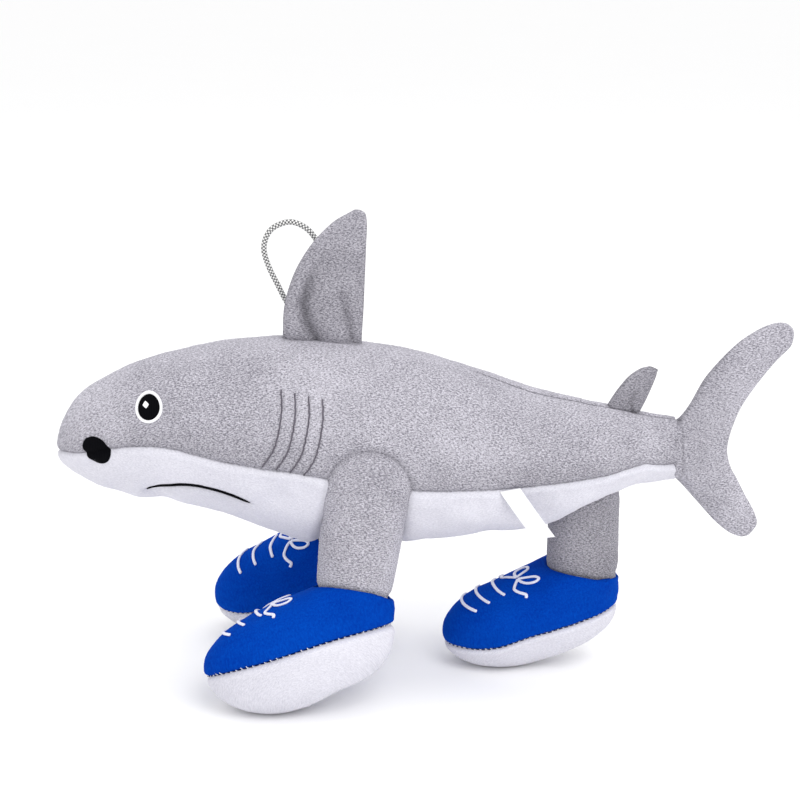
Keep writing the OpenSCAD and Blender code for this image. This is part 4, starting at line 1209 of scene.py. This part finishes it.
def shoe_filling(leg, pose):
    """Loose filling that leaves room for the leg's rounded end."""
    t = np.concatenate([-np.linspace(86, 3, 14), np.linspace(0.1, 4.6, 10)])
    T, A = np.meshgrid(t, np.arange(72) * 5.0, indexing="ij")
    T = np.where(T > 0, T * (0.56 + 0.44 * cos(A)), T)
    p = thinner(shoe_form(pose, T, A), 3.6)
    p = p + (np.array([MIDDLE_X, 0, 0.0]) - p) * (0.03 * (1 + noise(p, 8, 61)))[..., None]
    q = shoe_out(pose, p)
    away = q - pose["ankle"]
    distance = np.linalg.norm(away, axis=-1, keepdims=True)
    pushed = pose["ankle"] + away / np.maximum(distance, 1e-6) * FILLING_ROOM
    q = np.where(distance < FILLING_ROOM, pushed, q)
    q[..., 2] = np.maximum(q[..., 2], 2.0)
    fill = closed(leg + "_shoe_filling", q, FLUFF)
    declare(fill, [leg + "_shoe_stuffing"], "fibre_filling", leg + "_shoe")


for leg, pose in SHOES.items():
    shoe_upper(leg, pose)
    shoe_sole(leg, pose)
    seam_stitches(leg, pose)
    laces(leg, pose)
    shoe_filling(leg, pose)

# ---------------------------------------------------------------- fins
DORSAL = [
    (-77, 183.5, -34.8, 179.5, 4.8, 0.4), (-76.6, 193.5, -34.4, 190, 5, 0.4), (-76, 204, -33.6, 202, 5, 0.4),
    (-73.5, 215, -33, 214, 4.8, 0.4), (-68.5, 227.5, -32.4, 227, 4.3, 0.4),
    (-60, 240.5, -31.8, 240, 3.7, 0.4), (-49.5, 251, -31.4, 250, 3, 0.4),
    (-41, 256, -32.2, 255.5, 2.3, 0.4), (-38, 257.6, -34.6, 257.4, 1.5, 0.4),
]
SECOND = [
    (95.5, 143.5, 114.5, 139, 3.7, 0.4), (98.5, 148.1, 116.9, 144.4, 3.6, 0.4),
    (103.9, 156.9, 120.3, 151.5, 3.5, 0.4), (110.2, 164.9, 123.6, 159.5, 3, 0.4),
    (116.6, 169.5, 125.6, 165.2, 2.4, 0.4), (121.8, 170.8, 126.5, 169, 1.6, 0.4),
]
TAIL = [
    (177, 71.8, 182, 72.8, 1, 0.4), (170.5, 74.5, 186, 79, 3.2, 0.4), (162, 81.5, 184, 86.5, 4.6, 0.4),
    (152.5, 92, 178, 97, 5.6, 0.4), (144.5, 101, 173, 106.5, 6.8, 0.35), (139.6, 106.2, 170, 111.5, 7.6, 0.3),
    (132.5, 112.5, 168, 117, 8.8, 0.26), (128.8, 123.5, 167, 123.5, 10.2, 0.27),
    (132.5, 134, 168, 131, 8.8, 0.26), (139.6, 141.3, 170, 138, 7.6, 0.3),
    (145, 149, 173.5, 147, 6.6, 0.35), (153.5, 165, 180.5, 158.5, 5.4, 0.4),
    (168, 181.5, 191, 172.5, 4.5, 0.4), (180, 190.2, 198.2, 180, 3.6, 0.4),
    (188, 193.6, 200, 184.5, 2.7, 0.4), (193.6, 194.3, 200.2, 188.6, 1.8, 0.4),
    (196.8, 193.4, 199.4, 191, 1.0, 0.4),
]


def fin_base(table, v, s):
    """Point of half a fin at row v and share s from its front edge to its rear one."""
    f = at(table, v)
    nose = f[..., 5]
    front = np.sqrt(np.clip(1 - (1 - s / nose) ** 2, 0, 1))
    rear = np.clip(1 - ((s - nose) / (1 - nose)) ** 2, 0, 1) ** 0.7
    x, z = f[..., 0] + s * (f[..., 2] - f[..., 0]), f[..., 1] + s * (f[..., 3] - f[..., 1])
    return np.stack([x, f[..., 4] * np.where(s < nose, front, rear), z], -1)


def spread(low, high, count):
    """Shares from low to high, closer together near both edges."""
    return 0.5 - 0.5 * np.cos(np.pi * np.linspace(low, high, count))


FIN_SIM_V, FIN_SIM_S = 30, 15
FIN_CLOTH = 1.1


def fin_sim(table, last):
    """Height of the two blown-up panels over the plain fin, rows by the ring of both panels' columns."""
    V, S = np.meshgrid(np.linspace(0, last, FIN_SIM_V), spread(0.03, 0.97, FIN_SIM_S), indexing="ij")
    half = fin_base(table, V, S)
    half[..., 1] += 0.15
    ring = np.concatenate([half, half[:, ::-1] * MIRROR], 1)
    pins = np.zeros(ring.shape[:2])
    pins[:, [0, FIN_SIM_S - 1, FIN_SIM_S, -1]] = 1
    pins[[0, -1]] = 1
    sim = stuffed(ring, pins, 3.0, 0.03, 1.6)
    return smoothed(sim, 1) - 0.8 * smoothed(sim, 20)


def fin(name, table, relief, panel_node, filling, size, seed, material, lobes=False):
    """Two stuffed panels sewn round their edge, and their filling. With lobes, both ends are tips."""
    last = len(table) - 1
    V, S = np.meshgrid(np.linspace(0, last, size[0]), spread(0, 1, size[1]), indexing="ij")
    base = fin_base(table, V, S)
    width = np.linalg.norm(fin_base(table, V, 1 + 0 * S) - fin_base(table, V, 0 * S), axis=-1)
    edge = np.minimum(np.minimum(S, 1 - S) * width, np.minimum(last - V, V if lobes else 9) * 8.0)
    sim = fin_sim(table, last)
    lumps, painted_light = relief(base, S)
    # painted shade along the sewn edge
    painted_light = np.clip(painted_light - 0.25 * dent(edge, 0.6), 0.3, 1)
    nap = np.stack([base[..., 0], base[..., 2], 0 * S], -1)
    share = np.arccos(1 - 2 * S) / np.pi
    for side, word, columns in ((-1, "left", [29, 15]), (1, "right", [0, 14])):
        d = sample(sim, V / last * (FIN_SIM_V - 1), np.interp(share, [0.03, 0.97], columns)) + lumps
        d = d + 0.3 * noise(base * np.array([1, 0, 1]) + side * 50, 15, seed)
        d = (d + 0.14 * noise(base + side * 9, 6, seed + 1)) * fade(edge, 0.0, 3.0)
        d += pile(base + side * 7, 1.4, 0.1, seed + 2)
        y = base[..., 1] + 0.42 * fade(edge, 0.2, 1.8) + d * fade(edge, 0.0, 1.2) + 0.1
        P, inner = base.copy(), base.copy()
        P[..., 1] = side * np.maximum(y, 0.52 * base[..., 1] + 0.05)
        inner[..., 1] = side * np.clip(np.abs(P[..., 1]) - FIN_CLOTH, 0.02, None)
        obj = shell(f"{name}_{word}", P, inner, material, nap, painted_light)
        declare(obj, [f"{panel_node}_{word}"], "grey_plush")
        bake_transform(obj)
    low, high = (0.25, 0.3) if lobes else (1.05, 1.0)
    V, S = np.meshgrid(np.linspace(low, last - high, 26), spread(0.12, 0.88, 14), indexing="ij")
    half = fin_base(table, V, S)
    half[..., 1] = np.maximum(half[..., 1] * 0.32 - 0.1, 0.2) * (0.93 + 0.07 * noise(half, 6, 71))
    fill = closed(filling + "_filling", np.concatenate([half, half[:, ::-1] * MIRROR], 1), FLUFF)
    declare(fill, [filling + "_stuffing"], "fibre_filling", name)


def dorsal_relief(base, s):
    """Two creases rise from the root and lean together, with a soft pad between them. Painted shade darkens
    the creases and the foot, and a painted highlight runs along the front edge.
    """
    flat = base[..., [0, 2]]
    one = [(-59, 189), (-64, 199), (-65.3, 208.5), (-61.7, 222), (-51.6, 236)]
    two = [(-40, 188.7), (-42, 200), (-44.5, 211), (-49.5, 224)]
    g1, t1 = to_line(flat, one)
    g2, t2 = to_line(flat, two)
    d = -2.3 * dent(g1, 2.7) * fade(t1, 1.0, 0.5) - 1.3 * dent(g2, 2.3) * fade(t2, 1.0, 0.45)
    d += 1.3 * dent(to_line(flat, [(-51, 194), (-54, 212)])[0], 6.5)
    foot = base[..., 2] - 189.3 - (base[..., 0] + 76) * -0.094
    d -= 0.9 * dent(np.maximum(foot, 0), 2.0)
    d += 0.9 * dent(s * 42 - 4.5, 3.2)
    # painted shade in the creases and at the foot, a painted highlight along the front edge, and a little
    # painted light towards the top
    painted_light = 0.94 - 0.14 * dent(g1, 7.0) * fade(t1, 1.0, 0.7) - 0.4 * dent(g1, 2.4) * fade(t1, 1.0, 0.45)
    painted_light -= 0.34 * dent(g2, 2.0) * fade(t2, 1.0, 0.4) + 0.25 * dent(np.maximum(foot, 0), 1.2)
    return d, painted_light + 0.2 * dent(s * 42 - 4.0, 3.5) + 0.08 * fade(base[..., 2], 225, 250)


def second_relief(base, s):
    """One short crease at the root, and painted shade over the whole fin, deeper in the crease and at the
    foot.
    """
    flat = base[..., [0, 2]]
    g = to_line(flat, [(112.5, 147), (111.5, 152), (113.5, 156.5)])[0]
    foot = np.maximum(base[..., 2] - 148.4 + (base[..., 0] - 98) * 0.2, 0)
    d = -0.8 * dent(g, 1.5) - 0.6 * dent(foot, 1.6)
    return d, 0.80 - 0.3 * dent(g, 1.2) - 0.4 * dent(foot, 1.1)


def tail_relief(base, s):
    """The root is as full as the body's end, and thins into the two lobes. Painted shade runs along the root
    seam and darkens the fin towards its root.
    """
    x, z = base[..., 0], base[..., 2]
    height = (z - 119.5) / np.where(z > 119.5, 22.4, 12.8)
    full = 12.3 * np.sqrt(np.clip(1 - height**2, 0, 1)) * (fade(x, 166, 141) * fade(x, 130, 136))
    painted_light = 1 - 0.25 * dent(x - 139.7, 0.7) - 0.16 * fade(x, 176, 150)
    return np.maximum(full - base[..., 1], 0) - 0.4 * dent(x - 139.8, 0.9), painted_light


fin("dorsal_fin", DORSAL, dorsal_relief, "dorsal_panel", "dorsal",
    (160, 110), 81, GREY_SHADED_FIN)
fin("second_dorsal_fin", SECOND, second_relief, "second_dorsal", "second_dorsal",
    (70, 60), 91, GREY_SHADED_FIN)
fin("tail_fin", TAIL, tail_relief, "tail_panel", "tail",
    (300, 90), 101, GREY, lobes=True)

# ---------------------------------------------------------------- body filling
U, A = np.meshgrid(np.linspace(0.5, BODY_END - 0.9, 70), np.arange(72) * 5.0, indexing="ij")
P, N = body_base(U, A), body_normal(U, A)
P = P - N * (4.6 + 0.9 * noise(P, 11, 111))[..., None]
declare(closed("body_filling", P, FLUFF), ["body_stuffing"], "fibre_filling", "torso")

# ---------------------------------------------------------------- care label
LABEL_TOP, LABEL_FOOT = np.array([43.2, -39.6, 112.6]), np.array([61.0, -37.5, 87])
LABEL_HALF = 5.5
t = np.linspace(-0.06, 1, 60)[:, None, None]
w = np.linspace(-1, 1, 22)[None, :, None]
down = np.clip(t, 0, 1)
# it bulges away from the body, and its end curls out and twists a little
y = -1.9 * np.sin(np.pi * down) - 1.2 * down**3 - 0.9 * (0.55 * down * w**2 + 0.5 * down**2 * w)
# its first millimetres go in through the seam
y = y + 32.0 * np.clip(-t, 0, 1)
across = LABEL_HALF * unit(np.array([1, -0.1, 0.2]))
ribbon = LABEL_TOP + (LABEL_FOOT - LABEL_TOP) * t + across * w + np.array([0.0, 1.0, 0.0]) * y
label_nap = np.concatenate([w * LABEL_HALF + 0 * t, t * 33 + 0 * w, 0 * t * w], -1)
label = fabric("care_ribbon", ribbon, RIBBON, label_nap, np.ones(ribbon.shape[:2]), 0.28)
declare(label, ["care_label"], "label_ribbon", "label_tab")
flat_length = float(run_along(ribbon[:, 11])[-1])

# ---------------------------------------------------------------- studio
FLOOR_HALF = 30
corners = [(-1, -1, 0), (1, -1, 0), (1, 1, 0), (-1, 1, 0)]
floor_mesh = bpy.data.meshes.new("floor")
floor_mesh.from_pydata([tuple(FLOOR_HALF * c for c in corner) for corner in corners], [], [(0, 1, 2, 3)])
floor = bpy.data.objects.new("floor", floor_mesh)
scene.collection.objects.link(floor)
pale, tree, shader = nodes_for("floor_pale")
speck = noise_node(tree, node(tree, "ShaderNodeTexCoord").outputs["Object"], 3.0, 2, 0.5)
speckled = colour_mix(tree, speck, (0.955, 0.955, 0.957), (0.965, 0.965, 0.967))
tree.links.new(speckled, shader.inputs["Base Color"])
shader.inputs["Roughness"].default_value = 0.9
floor_mesh.materials.append(pale)

world = bpy.data.worlds.new("studio")
scene.world = world
world.use_nodes = True
world.node_tree.nodes["Background"].inputs[0].default_value = (1, 1, 1, 1)
world.node_tree.nodes["Background"].inputs[1].default_value = 1.02


def lamp(name, place, size, power):
    """Square lamp that points at the toy."""
    light = bpy.data.lights.new(name, "AREA")
    light.size = size
    light.energy = power
    obj = bpy.data.objects.new(name, light)
    scene.collection.objects.link(obj)
    obj.location = place
    obj.rotation_mode = "QUATERNION"
    obj.rotation_quaternion = (Vector((0, 0, 0.12)) - Vector(place)).to_track_quat("-Z", "Y")


lamp("key", (0.5, -1.0, 1.5), 1.0, 10.0)
lamp("top", (0.2, 0.3, 1.8), 1.2, 6.0)
